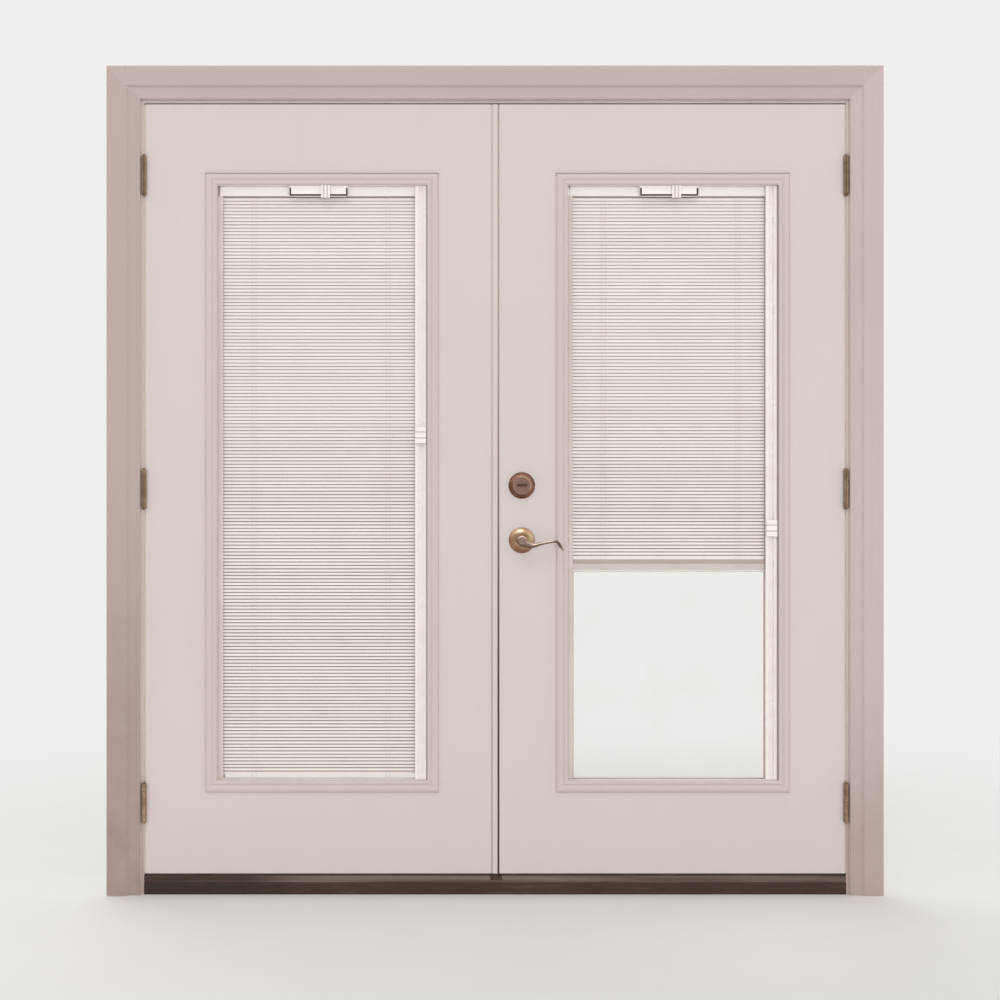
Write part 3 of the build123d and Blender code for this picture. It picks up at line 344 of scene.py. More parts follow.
foam_skin = rubbery("foam skin", (206, 187, 180), (220, 204, 198), 0.7)
sweep_vinyl = rubbery("sweep vinyl", (60, 47, 41), (92, 78, 70), 0.55)
bead_vinyl = rubbery("bead vinyl with painted shade low down", (212, 194, 188), (220, 204, 198), 0.6)
tree = bead_vinyl.node_tree
# The beads are darker towards the foot: painted shade in the gap between the leaves.
lay_over(bead_vinyl, spread(parts_of(spot_on(tree))[2], 1.6, 0.4), (84, 68, 62))
dress(foam_skin, "weatherstrips")
dress(sweep_vinyl, "left_sweep", "right_sweep", "astragal_foot")


def stand(name, data):
    """A new object in the scene."""
    made = bpy.data.objects.new(name, data)
    bpy.context.scene.collection.objects.link(made)
    return made


def finish_mesh(mesh, angle, material):
    """Gives a mesh its material, and rounds its shading but for edges sharper than an angle."""
    mesh.polygons.foreach_set("use_smooth", [True] * len(mesh.polygons))
    mesh.set_sharp_from_angle(angle=math.radians(angle))
    mesh.materials.append(material)


def uprights(name, lengths, rings, material, body):
    """Upright lengths in one piece, each given by its outline and the heights of its foot and its top."""
    vertices, faces = [], []
    for outline, foot, top in lengths:
        pairs = zip(outline, outline[1:] + outline[:1])
        if sum(here[0] * after[1] - after[0] * here[1] for here, after in pairs) < 0:
            outline = outline[::-1]
        first, count = len(vertices), len(outline)
        for ring in range(rings + 1):
            height = foot + (top - foot) * ring / rings
            vertices += [(x, y, height) for x, y in outline]
        for ring in range(rings):
            here = first + ring * count
            for point in range(count):
                after = (point + 1) % count
                faces.append((here + point, here + after, here + count + after, here + count + point))
        faces.append(tuple(range(first + count - 1, first - 1, -1)))
        faces.append(tuple(range(first + rings * count, first + (rings + 1) * count)))
    mesh = bpy.data.meshes.new(name)
    mesh.from_pydata(vertices, [], faces)
    finish_mesh(mesh, 40.0, material)
    piece = stand(name, mesh)
    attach(piece, body)
    return piece


def bulb(base, front, middle, half):
    """The outline of a bulb that stands on a face and is pressed flat at its front."""
    steps, flatness, swell = 14, 0.6, front - base
    turns = [math.pi * step / steps for step in range(steps + 1)]
    return [(base + swell * math.sin(turn) ** flatness, middle - half * math.cos(turn)) for turn in turns]


seal_low, seal_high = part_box("astragal_seal")
cap_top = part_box("astragal_foot")[0].z
outer_bulb = bulb(seal_low.x, front=0.01235, middle=(seal_low.y + seal_high.y) / 2, half=0.003)
room_bulb = bulb(seal_low.x, front=0.0106, middle=-0.016, half=0.0024)
lengths = [(outer_bulb, cap_top, seal_high.z), (room_bulb, cap_top, seal_high.z)]
bead = uprights("astragal_beads", lengths, 40, bead_vinyl, "left_leaf")
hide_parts("astragal_seal")

leaf_low, leaf_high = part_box("right_slab")
side_gap, strip_gap = 0.003, 0.0002
hinge_low, hinge_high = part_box("jamb_hinge_leaves")
hinge_half = 0.0535
stops = [leaf_low.z]
for middle in (hinge_low.z + hinge_half, (hinge_low.z + hinge_high.z) / 2, hinge_high.z - hinge_half):
    stops += [middle - hinge_half, middle + hinge_half]
stops.append(leaf_high.z)
strips = []
for side in (-1, 1):
    jamb_face, leaf_edge = side * (leaf_high.x + side_gap), side * (leaf_high.x + strip_gap)
    outline = bulb(jamb_face, leaf_edge, middle=-0.0178, half=0.0024)
    strips += [(outline, foot, top) for foot, top in zip(stops[::2], stops[1::2])]
uprights("hinge_side_strips", strips, 12, foam_skin, "frame")


# Casing: two uprights and a head of moulded pine, mitred at the corners and nailed over the joint
# between frame and wall. It was brushed along its length, and its side faces are painted paler, as painted
# light.

brushed_up, brushed_across = (420.0, 420.0, 2.5), (2.5, 420.0, 420.0)
# Each casing has its own copy of the paint. The left one is darker and darkened higher up, as painted shade
# where the light falls off.
for node, name, colour, shade, soil_and_shade, soil_and_shade_height, stroke in (
    ("casing_left", "left casing", (193, 174, 170), (184, 164, 159), (146, 124, 116), 1.3, brushed_up),
    ("casing_right", "right casing", (203, 185, 185), (197, 177, 175), (168, 146, 138), 0.6, brushed_up),
    ("casing_head", "casing head", (196, 178, 178), (189, 170, 169), (152, 128, 118), 0.01, brushed_across),
):
    casing_paint = painted(name + " satin paint", colour, shade, soil_and_shade, soil_and_shade_height, stroke, depth=0.0004)
    # The side faces are painted paler: painted light in the crevice beside the jamb.
    if node != "casing_head":
        edges_toned(casing_paint, (226, 209, 204))
    dress(casing_paint, node)


# Hinges: three loose-pin butt hinges to a leaf, pressed from brass plate, with the knuckles rolled round
# the pin. The brass is lacquered, but has dulled and darkened where the lacquer wore off, and painted shade
# darkens the faces turned down and to the left.

def aged_brass():
    """Old brass: bright on its crown, brown where the finish has darkened at the rim, and with painted
    shade on faces turned down and to the left.
    """
    tree, given, result = surface_group("aged brass", {
        "Bright": (214, 178, 122), "Dull": (150, 118, 86), "Tarnish And Shade": (84, 60, 44),
        "Lumps": 60.0, "Foot": 0.0, "Crown": 0.001, "Underside": 0.5, "Spots": 0.3,
    })
    place = spot_on(tree)
    upward = on_vector("DOT_PRODUCT", spot_on(tree, "Normal"), (0.4, 0.0, 0.92))
    patches = noise(place, given["Lumps"], 4.0, 0.55)
    freckles = noise(place, times(given["Lumps"], 9.0), 3.0)
    depth = minus(unsigned(parts_of(place)[1]), given["Foot"])
    rise = work_out("DIVIDE", depth, minus(given["Crown"], given["Foot"]))
    low = times(spread(rise, 0.0, 1.0, 1.0, 0.0), 0.75)
    # Faces turned away from above and the right are darkened by the underside share: painted shade.
    under = times(spread(upward, 0.3, -0.35), given["Underside"])
    uneven = times(minus(patches, 0.5), 0.7)
    dark = out("ShaderNodeMath", {0: larger(low, under), 1: uneven}, operation="ADD", use_clamp=True)
    speck = times(spread(freckles, 0.6, 0.72), given["Spots"])
    tone = mixed(spread(patches, 0.35, 0.65), given["Bright"], given["Dull"])
    tone = mixed(larger(dark, speck), tone, given["Tarnish And Shade"])
    rough = spread(dark, 0.0, 1.0, 0.26, 0.42)
    lumpy = plus(patches, times(freckles, 0.3))
    feed(result, {"Colour": tone, "Roughness": rough, "Height": lumpy})
    return tree


brass = aged_brass()


# The under share sets how much painted shade darkens the faces turned down and to the left.
def brassy(name, bright, dull, tarnish, lumps, foot=-0.001, crown=0.0, under=0.3, spots=0.3, depth=0.00004):
    """A brass finish for one kind of fitting."""
    material, tree, shader = finish_of(name)
    given = {"Bright": bright, "Dull": dull, "Tarnish And Shade": tarnish, "Lumps": lumps}
    given.update({"Foot": foot, "Crown": crown, "Underside": under, "Spots": spots})
    metal = add("ShaderNodeGroup", given, tree, node_tree=brass).outputs
    coat(shader, metal["Colour"], metal["Roughness"], metal["Height"], depth)
    feed(shader, {"Metallic": 1.0})
    return material


def mesh_of(piece):
    """The mesh of a piece with its modifiers worked in. The piece itself is taken away."""
    bpy.context.view_layer.update()
    made = bpy.data.meshes.new_from_object(piece.evaluated_get(bpy.context.evaluated_depsgraph_get()))
    bpy.data.objects.remove(piece)
    return made


def eased(node, width, body, material, steps=2, angle=32.0):
    """A copy of a CAD node, joined up and with its sharp edges rounded, that stands in its place."""
    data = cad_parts[node].data.copy()
    data.materials.clear()
    work = bmesh.new()
    work.from_mesh(data)
    bmesh.ops.remove_doubles(work, verts=work.verts, dist=0.000005)
    bmesh.ops.dissolve_limit(work, angle_limit=math.radians(0.5), verts=work.verts, edges=work.edges)
    work.to_mesh(data)
    work.free()
    rough_piece = stand(node + "_rough", data)
    if width > 0:
        bevel = rough_piece.modifiers.new("eased edges", "BEVEL")
        bevel.width = width
        bevel.segments = steps
        bevel.limit_method = "ANGLE"
        bevel.angle_limit = math.radians(angle)
    finished = mesh_of(rough_piece)
    finish_mesh(finished, angle, material)
    piece = stand(node + "_finished", finished)
    weights = piece.modifiers.new("flat faces stay flat", "WEIGHTED_NORMAL")
    weights.keep_sharp = True
    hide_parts(node)
    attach(piece, body)
    return piece


hinge_brass = brassy("dulled hinge brass", (184, 156, 136), (160, 132, 112), (108, 84, 68), lumps=40.0)
eased("jamb_hinge_leaves", 0.0004, "frame", hinge_brass)
eased("hinge_pins", 0.0012, "frame", hinge_brass, 3)
eased("left_hinge_leaves", 0.0004, "left_leaf", hinge_brass)
eased("right_hinge_leaves", 0.0004, "right_leaf", hinge_brass)


# Screws: flat-headed cross-recess wood screws, driven flush into the hinge plates, face plates and
# strike plates. Each head stops at its own angle.

def growing_tree(name, inputs):
    """An empty geometry tree with its named inputs."""
    shape = {"Geometry": "NodeSocketGeometry"}
    return node_group("GeometryNodeTree", name, {**shape, **inputs, "Finish": "NodeSocketMaterial"}, shape)


def end_of_tree(instances, given, result):
    """Turns instances into real mesh and gives them their finish."""
    real = out("GeometryNodeRealizeInstances", {0: instances})
    dressed = out("GeometryNodeSetMaterial", {"Geometry": real, "Material": given["Finish"]})
    feed(result, {"Geometry": dressed})


def set_out(points, piece, turn=(0.0, 0.0, 0.0)):
    """Copies of a piece at each of some points."""
    sockets = {"Points": points, "Instance": piece, "Rotation": turn}
    return out("GeometryNodeInstanceOnPoints", sockets)


def moved(piece, by):
    """A piece moved by a vector."""
    return out("GeometryNodeTransform", {0: piece, "Translation": by})


def grow(name, tree, points, values):
    """A plain mesh piece, grown by a geometry tree over some points."""
    seed_mesh = bpy.data.meshes.new(name + "_points")
    seed_mesh.from_pydata([tuple(point) for point in points], [], [])
    planted = stand(name + "_planted", seed_mesh)
    modifier = planted.modifiers.new("grow", "NODES")
    modifier.node_group = tree
    sockets = {item.name: item.identifier for item in tree.interface.items_tree if item.in_out == "INPUT"}
    for label, value in values.items():
        modifier[sockets[label]] = value
    piece = stand(name, mesh_of(planted))
    return piece


def random_value(low, high, seed):
    """A value between two limits that differs from one copy to the next."""
    limits = {2: low, 3: high, "Seed": seed}
    return add("FunctionNodeRandomValue", limits, data_type="FLOAT").outputs[1]


def screw_tree():
    """A flat screw head with a cross recess, set at each point and turned at random."""
    tree, given, result = growing_tree("screws", {
        "Head Radius": 0.004, "Head Rise": 0.0003, "Recess Width": 0.0009,
        "Facing": (0.0, 0.0, 1.0), "Seed": 1,
    })
    depth = 0.0012
    size = {"Vertices": 20, "Radius": given["Head Radius"], "Depth": depth}
    head = add("GeometryNodeMeshCylinder", size).outputs["Mesh"]
    arm = times(given["Head Radius"], 1.15)
    cut = add("GeometryNodeMeshBoolean", {"Mesh 1": head}, operation="DIFFERENCE")
    for across in (0, 1):
        size = vector_of({across: arm, 1 - across: given["Recess Width"], 2: depth})
        bar = add("GeometryNodeMeshCube", {"Size": size}).outputs["Mesh"]
        feed(cut, {"Mesh 2": moved(bar, (0.0, 0.0, depth * 0.6))})
    lift = vector_of({2: minus(given["Head Rise"], depth / 2)})
    raised = moved(cut.outputs["Mesh"], lift)
    turn = random_value(0.0, math.pi, given["Seed"])
    upright = out("FunctionNodeEulerToRotation", {0: vector_of({2: turn})})
    facing = out("FunctionNodeAlignRotationToVector", {"Vector": given["Facing"]}, axis="Z")
    both = out("FunctionNodeRotateRotation", {0: upright, 1: facing}, rotation_space="GLOBAL")
    end_of_tree(set_out(given["Geometry"], raised, both), given, result)
    return tree


screws = screw_tree()


def drive_screws(name, points, facing, radius, seed, material, body):
    """Screw heads at the given points, all facing one way."""
    values = {"Head Radius": radius, "Recess Width": radius * 0.24, "Facing": facing, "Seed": seed}
    piece = grow(name, screws, points, {**values, "Finish": material})
    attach(piece, body)
    return piece


plate_height, plate_reach = 0.102, 0.035
screw_radius = 0.0042
near, far = 0.011, 0.024
zigzag = ((-0.038, far), (-0.0125, near), (0.0125, near), (0.038, far))
jamb_rebate = 0.0127
for name, side in (("left", -1), ("right", 1)):
    low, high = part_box(name + "_hinge_leaves")
    plates = (low.z + plate_height / 2, (low.z + high.z) / 2, high.z - plate_height / 2)
    places = [(high.y - plate_reach + step, middle + rise) for middle in plates for rise, step in zigzag]
    jamb_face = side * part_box("right_jamb")[0].x + side * jamb_rebate
    slab_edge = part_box(name + "_slab")[1 if side > 0 else 0].x
    for kind, x, facing, seed, body in (
        ("_hinge_screws", slab_edge, (side, 0.0, 0.0), 11 + side, name + "_leaf"),
        ("_jamb_screws", jamb_face, (-side, 0.0, 0.0), 21 + side, "frame"),
    ):
        points = [(x, y, z) for y, z in places]
        drive_screws(name + kind, points, facing, screw_radius, seed, hinge_brass, body)


# Leaves: two insulated slabs with smooth fibreglass skins over wood edges, cut out for the glass and
# sprayed with the same off-white paint as the lite frames, darkened less low down than the casing.

door_paint = painted(
    "door satin paint", (217, 206, 205), (213, 202, 201), (214, 203, 202),
    soil_and_shade_height=0.3, stroke=(16.0, 16.0, 4.0), depth=0.00006,
)
# The meeting edges go from pale at the top to dark brown at the foot: painted shade in the gap between the
# leaves. The edges by the jambs take the primer as painted light.
edges_toned(door_paint, primer_and_painted_light, (216, 200, 194), (120, 100, 92))
dress(door_paint, "left_slab", "right_slab", "astragal")


# Lite frames: each is two moulded plastic rings that clamp the glass in the slab's cut-out, with a bead
# round the glass, a quirk, and a flatter hump over the slab. The walls next to the glass are painted pale,
# and dark where they face left, as painted light and shade.

lite_paint = painted(
    "lite frame paint", (210, 197, 197), (205, 192, 191), (200, 187, 184),
    soil_and_shade_height=0.3, stroke=(30.0, 30.0, 5.0), depth=0.00006,
)
tree = lite_paint.node_tree
place = parts_of(spot_on(tree))
facing = parts_of(spot_on(tree, "Normal"))
# The walls next to the glass are pale, and dark brown where they face left on the room side: painted light
# and painted shade.
below_skin = spread(unsigned(place[1]), 0.0222, 0.0216)
inner_walls = times(spread(unsigned(facing[1]), 0.5, 0.3), below_skin)
painted_shade_share = times(spread(facing[0], -0.5, -0.8), spread(place[1], 0.001, -0.001))
lay_over(lite_paint, inner_walls, mixed(painted_shade_share, (250, 242, 239), (158, 146, 142)))
lite_band = 0.033
for side in ("left", "right"):
    low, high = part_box(side + "_lite_frame_inside")
    half = (high.z - low.z) / 2 - lite_band
    # A dark strip down the foot of the right-hand bead and along the top edge, on the room side: painted
    # shade.
    beside = unsigned(minus(place[0], high.x - lite_band + 0.0014))
    off_middle = unsigned(minus(place[2], (low.z + high.z) / 2))
    stripe = times(spread(beside, 0.0031, 0.0012), spread(off_middle, half, half - 0.002))
    shelf = times(spread(place[2], high.z - 0.0062, high.z - 0.003), 0.65)
    room_side = spread(place[1], -0.02, -0.022, 0.0, 0.75)
    lay_over(lite_paint, times(larger(stripe, shelf), room_side), (140, 128, 124))
    dress(lite_paint, side + "_lite_frame_inside", side + "_lite_frame_outside")


# Glass units: two panes of clear float glass to a leaf, held apart by a beige enamelled metal spacer, with
# a roll-formed channel down each side that the blind's ends run in. The panes carry a trace of dust.

clear_glass, tree, shader = finish_of("clear float glass")
film = spread(noise(spot_on(tree), 5.0, 5.0, 0.6), 0.4, 0.8)
tint = mixed(film, (254, 254, 254), (251, 252, 251))
coat(shader, tint, spread(film, 0.0, 1.0, 0.0, 0.01))
feed(shader, {"Transmission Weight": 1.0, "IOR": 1.5, "Specular IOR Level": 0.3})
paths = add("ShaderNodeLightPath", {}, tree).outputs
passing = larger(paths["Is Shadow Ray"], paths["Is Diffuse Ray"])
clear = out("ShaderNodeBsdfTransparent", {"Color": (255, 255, 255)}, tree)
both = out("ShaderNodeMixShader", {0: passing, 1: shader.outputs[0], 2: clear})
feed(tree.nodes["Material Output"], {"Surface": both})
dress(clear_glass, "left_glass_inside", "left_glass_outside", "right_glass_inside", "right_glass_outside")

spacer_metal, tree, shader = finish_of("beige enamelled spacer")
place = spot_on(tree)
drawn = noise(place, 300.0, 3.0)
patch = spread(noise(place, 8.0, 4.0), 0.35, 0.7)
tone = mixed(patch, (224, 211, 206), (214, 201, 195))
tone = mixed(times(drawn, 0.3), tone, (208, 194, 187))
coat(shader, tone, spread(drawn, 0.2, 0.8, 0.35, 0.55))
dress(spacer_metal, "left_glass_spacer", "right_glass_spacer")

spacer_width = 0.008
wall = 0.0007
lip_front, lip_back = -0.0093, 0.0093
over_slats = {"left": 0.0008, "right": -0.0002}
behind_slats, behind_far_end = 0.0035, 0.0015
guide_gap = 0.0004
for side in ("left", "right"):
    spacer_low, spacer_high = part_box(side + "_glass_spacer")
    slat_low, slat_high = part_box(side + "_blind_slats")
    near = spacer_low.x + spacer_width
    mouth = slat_low.x + over_slats[side]
    behind = slat_low.x + behind_slats
    guide = [
        (near, lip_front), (mouth, lip_front), (mouth, lip_front + 2 * wall),
        (mouth - wall, lip_front + 2 * wall), (mouth - wall, lip_front + wall),
        (near + wall, lip_front + wall), (near + wall, lip_back - wall),
        (behind, lip_back - wall), (behind, lip_back), (near, lip_back),
    ]
    far = spacer_high.x - spacer_width
    behind = slat_high.x - behind_far_end
    cover = [
        (far, lip_front), (far, lip_back), (behind, lip_back),
        (behind, lip_back - wall), (far - wall, lip_back - wall), (far - wall, lip_front),
    ]
    foot = spacer_low.z + spacer_width
    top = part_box(side + "_blind_headrail")[0].z - guide_gap
    lengths = [(guide, foot, top), (cover, foot, top)]
    uprights(side + "_blind_guides", lengths, 8, spacer_metal, side + "_leaf")


# Head rails and bottom rails: roll-formed aluminium in baked white enamel. The capped head rail hides the
# tilt gear, and the bottom rail is the weight that draws the slats down between its guide pins.

def enamelled(name, colour, shade, lumps):
    """Baked enamel: smooth, slightly uneven in tone."""
    material, tree, shader = finish_of(name)
    place = spot_on(tree)
    fine = noise(place, 700.0, 2.0)
    tone = mixed(spread(noise(place, lumps, 4.0), 0.35, 0.7), colour, shade)
    coat(shader, tone, spread(fine, 0.2, 0.8, 0.3, 0.42), fine, depth=0.00005)
    return material


rail_enamel = enamelled("head rail enamel", (255, 249, 247), (252, 244, 242), 6.0)
foot_enamel = enamelled("bottom rail enamel", (228, 220, 215), (220, 211, 205), 9.0)
cap_depth, cap_skin, cap_drop = 0.0045, 0.0002, 0.0003
corner = 0.0012
rounding = ((corner, 0.0), (corner * 0.3, corner * 0.3), (0.0, corner))
for side in ("left", "right"):
    dress(rail_enamel, side + "_blind_headrail")
    rail_low, rail_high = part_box(side + "_blind_headrail")
    cap_end = rail_low.x - cap_depth
    cap_half = rail_high.y + cap_skin
    cap = [(rail_low.x, -cap_half), (rail_low.x, cap_half)]
    cap += [(cap_end + beyond, cap_half - inside) for beyond, inside in rounding]
    cap += [(cap_end + beyond, inside - cap_half) for beyond, inside in reversed(rounding)]
    lengths = [(cap, rail_low.z - cap_skin, rail_high.z - cap_drop)]
    uprights(side + "_headrail_cap", lengths, 2, rail_enamel, side + "_leaf")
for side in ("left", "right"):
    eased(side + "_blind_bottom_rail", 0.0005, side + "_rail", foot_enamel)


# Slats: strips of thin aluminium, crowned by the rolls that form them and baked in white enamel.
# They hang on the ladders shut, each a hair off the next, and gather flat on a raised bottom rail.

slat_enamel, tree, shader = finish_of("slat enamel")
place = spot_on(tree)
own_tone = add("ShaderNodeAttribute", {}, tree, attribute_name="tone").outputs["Fac"]
from_edge = add("ShaderNodeAttribute", {}, tree, attribute_name="from_edge").outputs["Fac"]
cloud = noise(place, 9.0, 4.0)
tone = mixed(own_tone, (247, 238, 236), (200, 180, 171))
tone = mixed(spread(cloud, 0.5, 0.8, 0.0, 0.2), tone, (236, 222, 218))
# A dark band along the upper part of each slat, stronger lower down the blind: painted shade where each
# slat lies behind the one above.
painted_shade_share = plus(from_edge, times(minus(cloud, 0.5), 0.05))
lower = spread(parts_of(place)[2], 1.7, 0.6)
painted_shade_share = plus(painted_shade_share, times(lower, 0.07))
dust_and_shade = times(spread(painted_shade_share, 0.48, 0.66), spread(lower, 0.0, 1.0, 0.8, 1.0))
tone = mixed(dust_and_shade, tone, (122, 104, 99))
coat(shader, tone, spread(dust_and_shade, 0.0, 1.0, 0.36, 0.75))


def steps_down(count, top, pitch):
    """Points on a run of even steps down from a top."""
    sockets = {"Count": count, "Start Location": top, "Offset": vector_of({2: times(pitch, -1.0)})}
    return out("GeometryNodeMeshLine", sockets, mode="OFFSET")


def slat_tree():
    """Slats on a run of even steps, each a thin crowned strip that leans a little off the next."""
    tree, given, result = growing_tree("slats", {
        "Count": 10, "Pitch": 0.009, "Top": (0.0, 0.0, 1.0), "Tilt": 1.2, "Wobble": 0.01,
        "Length": 0.5, "Width": 0.0125, "Crown": 0.0012, "Thickness": 0.0003,
        "Least Soil": 0.0, "Most Soil": 0.2, "Seed": 1,
    })
    size = {"Size X": given["Length"], "Size Y": given["Width"], "Vertices X": 2, "Vertices Y": 7}
    strip = add("GeometryNodeMeshGrid", size).outputs["Mesh"]
    across = parts_of(out("GeometryNodeInputPosition", {}, tree))[1]
    edge_share = plus(work_out("DIVIDE", across, given["Width"]), 0.5)
    store = "GeometryNodeStoreNamedAttribute"
    sockets = {"Geometry": strip, "Name": "from_edge", "Value": edge_share}
    strip = out(store, sockets, data_type="FLOAT", domain="POINT")
    share = work_out("DIVIDE", times(across, 2.0), given["Width"])
    fall = minus(1.0, times(share, share))
    rise = minus(times(fall, given["Crown"]), given["Thickness"])
    under = out("GeometryNodeSetPosition", {"Geometry": strip, "Offset": vector_of({2: rise})})
    up = vector_of({2: given["Thickness"]})
    sockets = {"Mesh": under, "Offset": up, "Offset Scale": 1.0, "Individual": False}
    thick = add("GeometryNodeExtrudeMesh", sockets, mode="FACES").outputs["Mesh"]
    back = out("GeometryNodeFlipFaces", {0: under})
    whole = add("GeometryNodeJoinGeometry", {}, tree)
    feed(whole, {0: thick})
    feed(whole, {0: back})
    closed = out("GeometryNodeMergeByDistance", {"Geometry": whole.outputs[0], "Distance": 0.00001})
    run = steps_down(given["Count"], given["Top"], given["Pitch"])
    lean = random_value(times(given["Wobble"], -1.0), given["Wobble"], given["Seed"])
    turn = vector_of({0: plus(given["Tilt"], lean)})
    hung = set_out(run, closed, turn)
    own = random_value(given["Least Soil"], given["Most Soil"], plus(given["Seed"], 7.0))
    sockets = {"Geometry": hung, "Name": "tone", "Value": own}
    toned = out(store, sockets, data_type="FLOAT", domain="INSTANCE")
    end_of_tree(toned, given, result)
    return tree


slats = slat_tree()
slat_pitch = 0.00895
slat_width = 0.0125
slat_crown = 0.0012
slat_thickness = 0.0003
slat_tilt = math.radians(70.0)
slat_wobble = math.radians(0.3)
gathered_pitch = 0.0004
slat_half_height = slat_width / 2 * math.sin(slat_tilt) + slat_thickness * math.cos(slat_tilt)
hung_shut = (slat_pitch, slat_tilt, slat_crown, slat_wobble)
gathered_flat = (gathered_pitch, 0.0, 0.0, math.radians(0.05))


def hang_slats(name, side, first, count, hang, soil_and_shade, seed):
    """Some of a blind's slats, from the height of the first one down, each darkened by a random share
    between two limits.
    """
    low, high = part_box(side + "_blind_slats")
    pitch, tilt, crown, wobble = hang
    values = {
        "Count": count, "Pitch": pitch, "Top": ((low.x + high.x) / 2, 0.0, first),
        "Tilt": tilt, "Wobble": wobble, "Length": high.x - low.x, "Width": slat_width,
        "Crown": crown, "Thickness": slat_thickness, "Least Soil": soil_and_shade[0], "Most Soil": soil_and_shade[1],
        "Seed": seed, "Finish": slat_enamel,
    }
    piece = grow(name, slats, [(0.0, 0.0, 0.0)], values)
    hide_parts(side + "_blind_slats")
    return piece


blind_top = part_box("left_blind_slats")[1].z
head_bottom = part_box("left_blind_headrail")[0].z
left_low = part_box("left_blind_slats")[0].z
slat_total = round((blind_top - left_low - 2 * slat_half_height) / slat_pitch) + 1
first_slat = blind_top - slat_half_height
clean = (0.0, 0.15)
left_slats = hang_slats("left_slats", "left", first_slat, slat_total, hung_shut, clean, 3)
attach(left_slats, "left_leaf")
left_rail_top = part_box("left_blind_bottom_rail")[1].z
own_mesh(left_slats)

right_rail_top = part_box("right_blind_bottom_rail")[1].z
right_drop = head_bottom - right_rail_top
free_drop = right_drop - 2 * slat_half_height + slat_pitch - slat_total * gathered_pitch
hanging = int(free_drop / (slat_pitch - gathered_pitch))
gathered = slat_total - hanging


def hang_between(piece, foot):
    """Bakes a part of the right blind into its place; the foot is not used."""
    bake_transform(piece)


lift_shares = (0.0, 0.05, 0.15, 0.35, 0.65, 0.85, 0.95, 1.0)
lifts = []
for upper, lower in zip(lift_shares, lift_shares[1:]):
    begin, end = round(upper * hanging), round(lower * hanging)
    top = head_bottom if begin == 0 else first_slat + slat_pitch / 2 - begin * slat_pitch
    lifts.append((begin, end, top, first_slat + slat_pitch / 2 - end * slat_pitch))
for number, (begin, end, top, foot) in enumerate(lifts):
    name = "right_slats_" + str(number + 1)
    start = first_slat - begin * slat_pitch
    piece = hang_slats(name, "right", start, end - begin, hung_shut, clean, 20 + number)
    hang_between(piece, foot)
# The upper share of the gathered slats is toned darkest, as painted shade at the top of the stack; the
# lower share is darkened less.
shaded_share = 0.45
upper_slats = round(shaded_share * gathered)
for name, above, count, soil_and_shade, seed in (
    ("right_slats_gathered", 0, upper_slats, (0.85, 1.0), 41),
    ("right_slats_gathered_low", upper_slats, gathered - upper_slats, (0.15, 0.55), 42),
):
    start = right_rail_top + (gathered - above) * gathered_pitch
    piece = hang_slats(name, "right", start, count, gathered_flat, soil_and_shade, seed)
    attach(piece, "right_rail")


# Ladders and lift cords: braided polyester. A front and a back string to a ladder carry each slat on a
# rung, and a lift cord beside it runs down to the bottom rail.

braid, tree, shader = finish_of("braided cord")
sockets = {"Vector": spot_on(tree), "Scale": 320.0, "Distortion": 1.5}
waves = add("ShaderNodeTexWave", sockets, wave_type="BANDS", bands_direction="Z")
twist = waves.outputs["Fac"]
tone = mixed(twist, (224, 213, 208), (204, 190, 184))
coat(shader, tone, 0.8, twist, depth=0.0001, strength=0.5)


def ladder_tree():
    """Upright strings from a top to a foot at each point, with rungs on a run of even steps."""
    tree, given, result = growing_tree("ladders", {
        "Length": 1.0, "Reach": 0.003, "Cord Radius": 0.0004, "Lift Cord Offset": 0.01,
        "Rungs": 10, "Pitch": 0.009,
    })

    def cord(start, end, sides, radius):
        """A straight cord with closed ends."""
        line = out("GeometryNodeCurvePrimitiveLine", {"Start": start, "End": end})
        ring = out("GeometryNodeCurvePrimitiveCircle", {"Resolution": sides, "Radius": radius}, tree)
        return out("GeometryNodeCurveToMesh", {0: line, "Profile Curve": ring, "Fill Caps": True})

    foot = vector_of({2: times(given["Length"], -1.0)})
    string = cord((0.0, 0.0, 0.0), foot, 6, given["Cord Radius"])
    reach_back = times(given["Reach"], -1.0)
    front, back = {1: given["Reach"]}, {1: reach_back}
    parts = add("GeometryNodeJoinGeometry", {}, tree)
    for offset in (front, back, {0: given["Lift Cord Offset"], 1: reach_back}):
        feed(parts, {0: moved(string, vector_of(offset))})
    start = vector_of({2: times(given["Pitch"], -0.5)})
    steps = steps_down(given["Rungs"], start, given["Pitch"])
    rung = cord(vector_of(back), vector_of(front), 4, 0.00015)
    feed(parts, {0: set_out(steps, rung)})
    end_of_tree(set_out(given["Geometry"], parts.outputs[0]), given, result)
    return tree


ladders = ladder_tree()
string_gap, stack_gap = 0.001, 0.0006
string_reach = slat_width / 2 * math.cos(slat_tilt) + string_gap
stack_reach = slat_width / 2 + stack_gap


def hang_ladders(name, side, top, foot, reach, rungs):
    """Both ladders of a blind between two heights."""
    low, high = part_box(side + "_blind_ladders")
    half = 0.0006
    length = top - foot
    values = {"Length": length, "Reach": reach, "Rungs": rungs, "Pitch": length / rungs, "Finish": braid}
    points = [(low.x + half, 0.0, top), (high.x - half, 0.0, top)]
    piece = grow(name, ladders, points, values)
    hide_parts(side + "_blind_ladders")
    return piece


left_ladders = hang_ladders("left_ladders", "left", head_bottom, left_rail_top, string_reach, slat_total)
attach(left_ladders, "left_leaf")
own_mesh(left_ladders)
stack_top = right_rail_top + gathered * gathered_pitch
for number, (begin, end, top, foot) in enumerate(lifts):
    foot = stack_top if end == hanging else foot
    piece = hang_ladders("right_ladders_" + str(number + 1), "right", top, foot, string_reach, end - begin)
    hang_between(piece, foot)
piece = hang_ladders("right_ladders_gathered", "right", stack_top, right_rail_top, stack_reach, 4)
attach(piece, "right_rail")


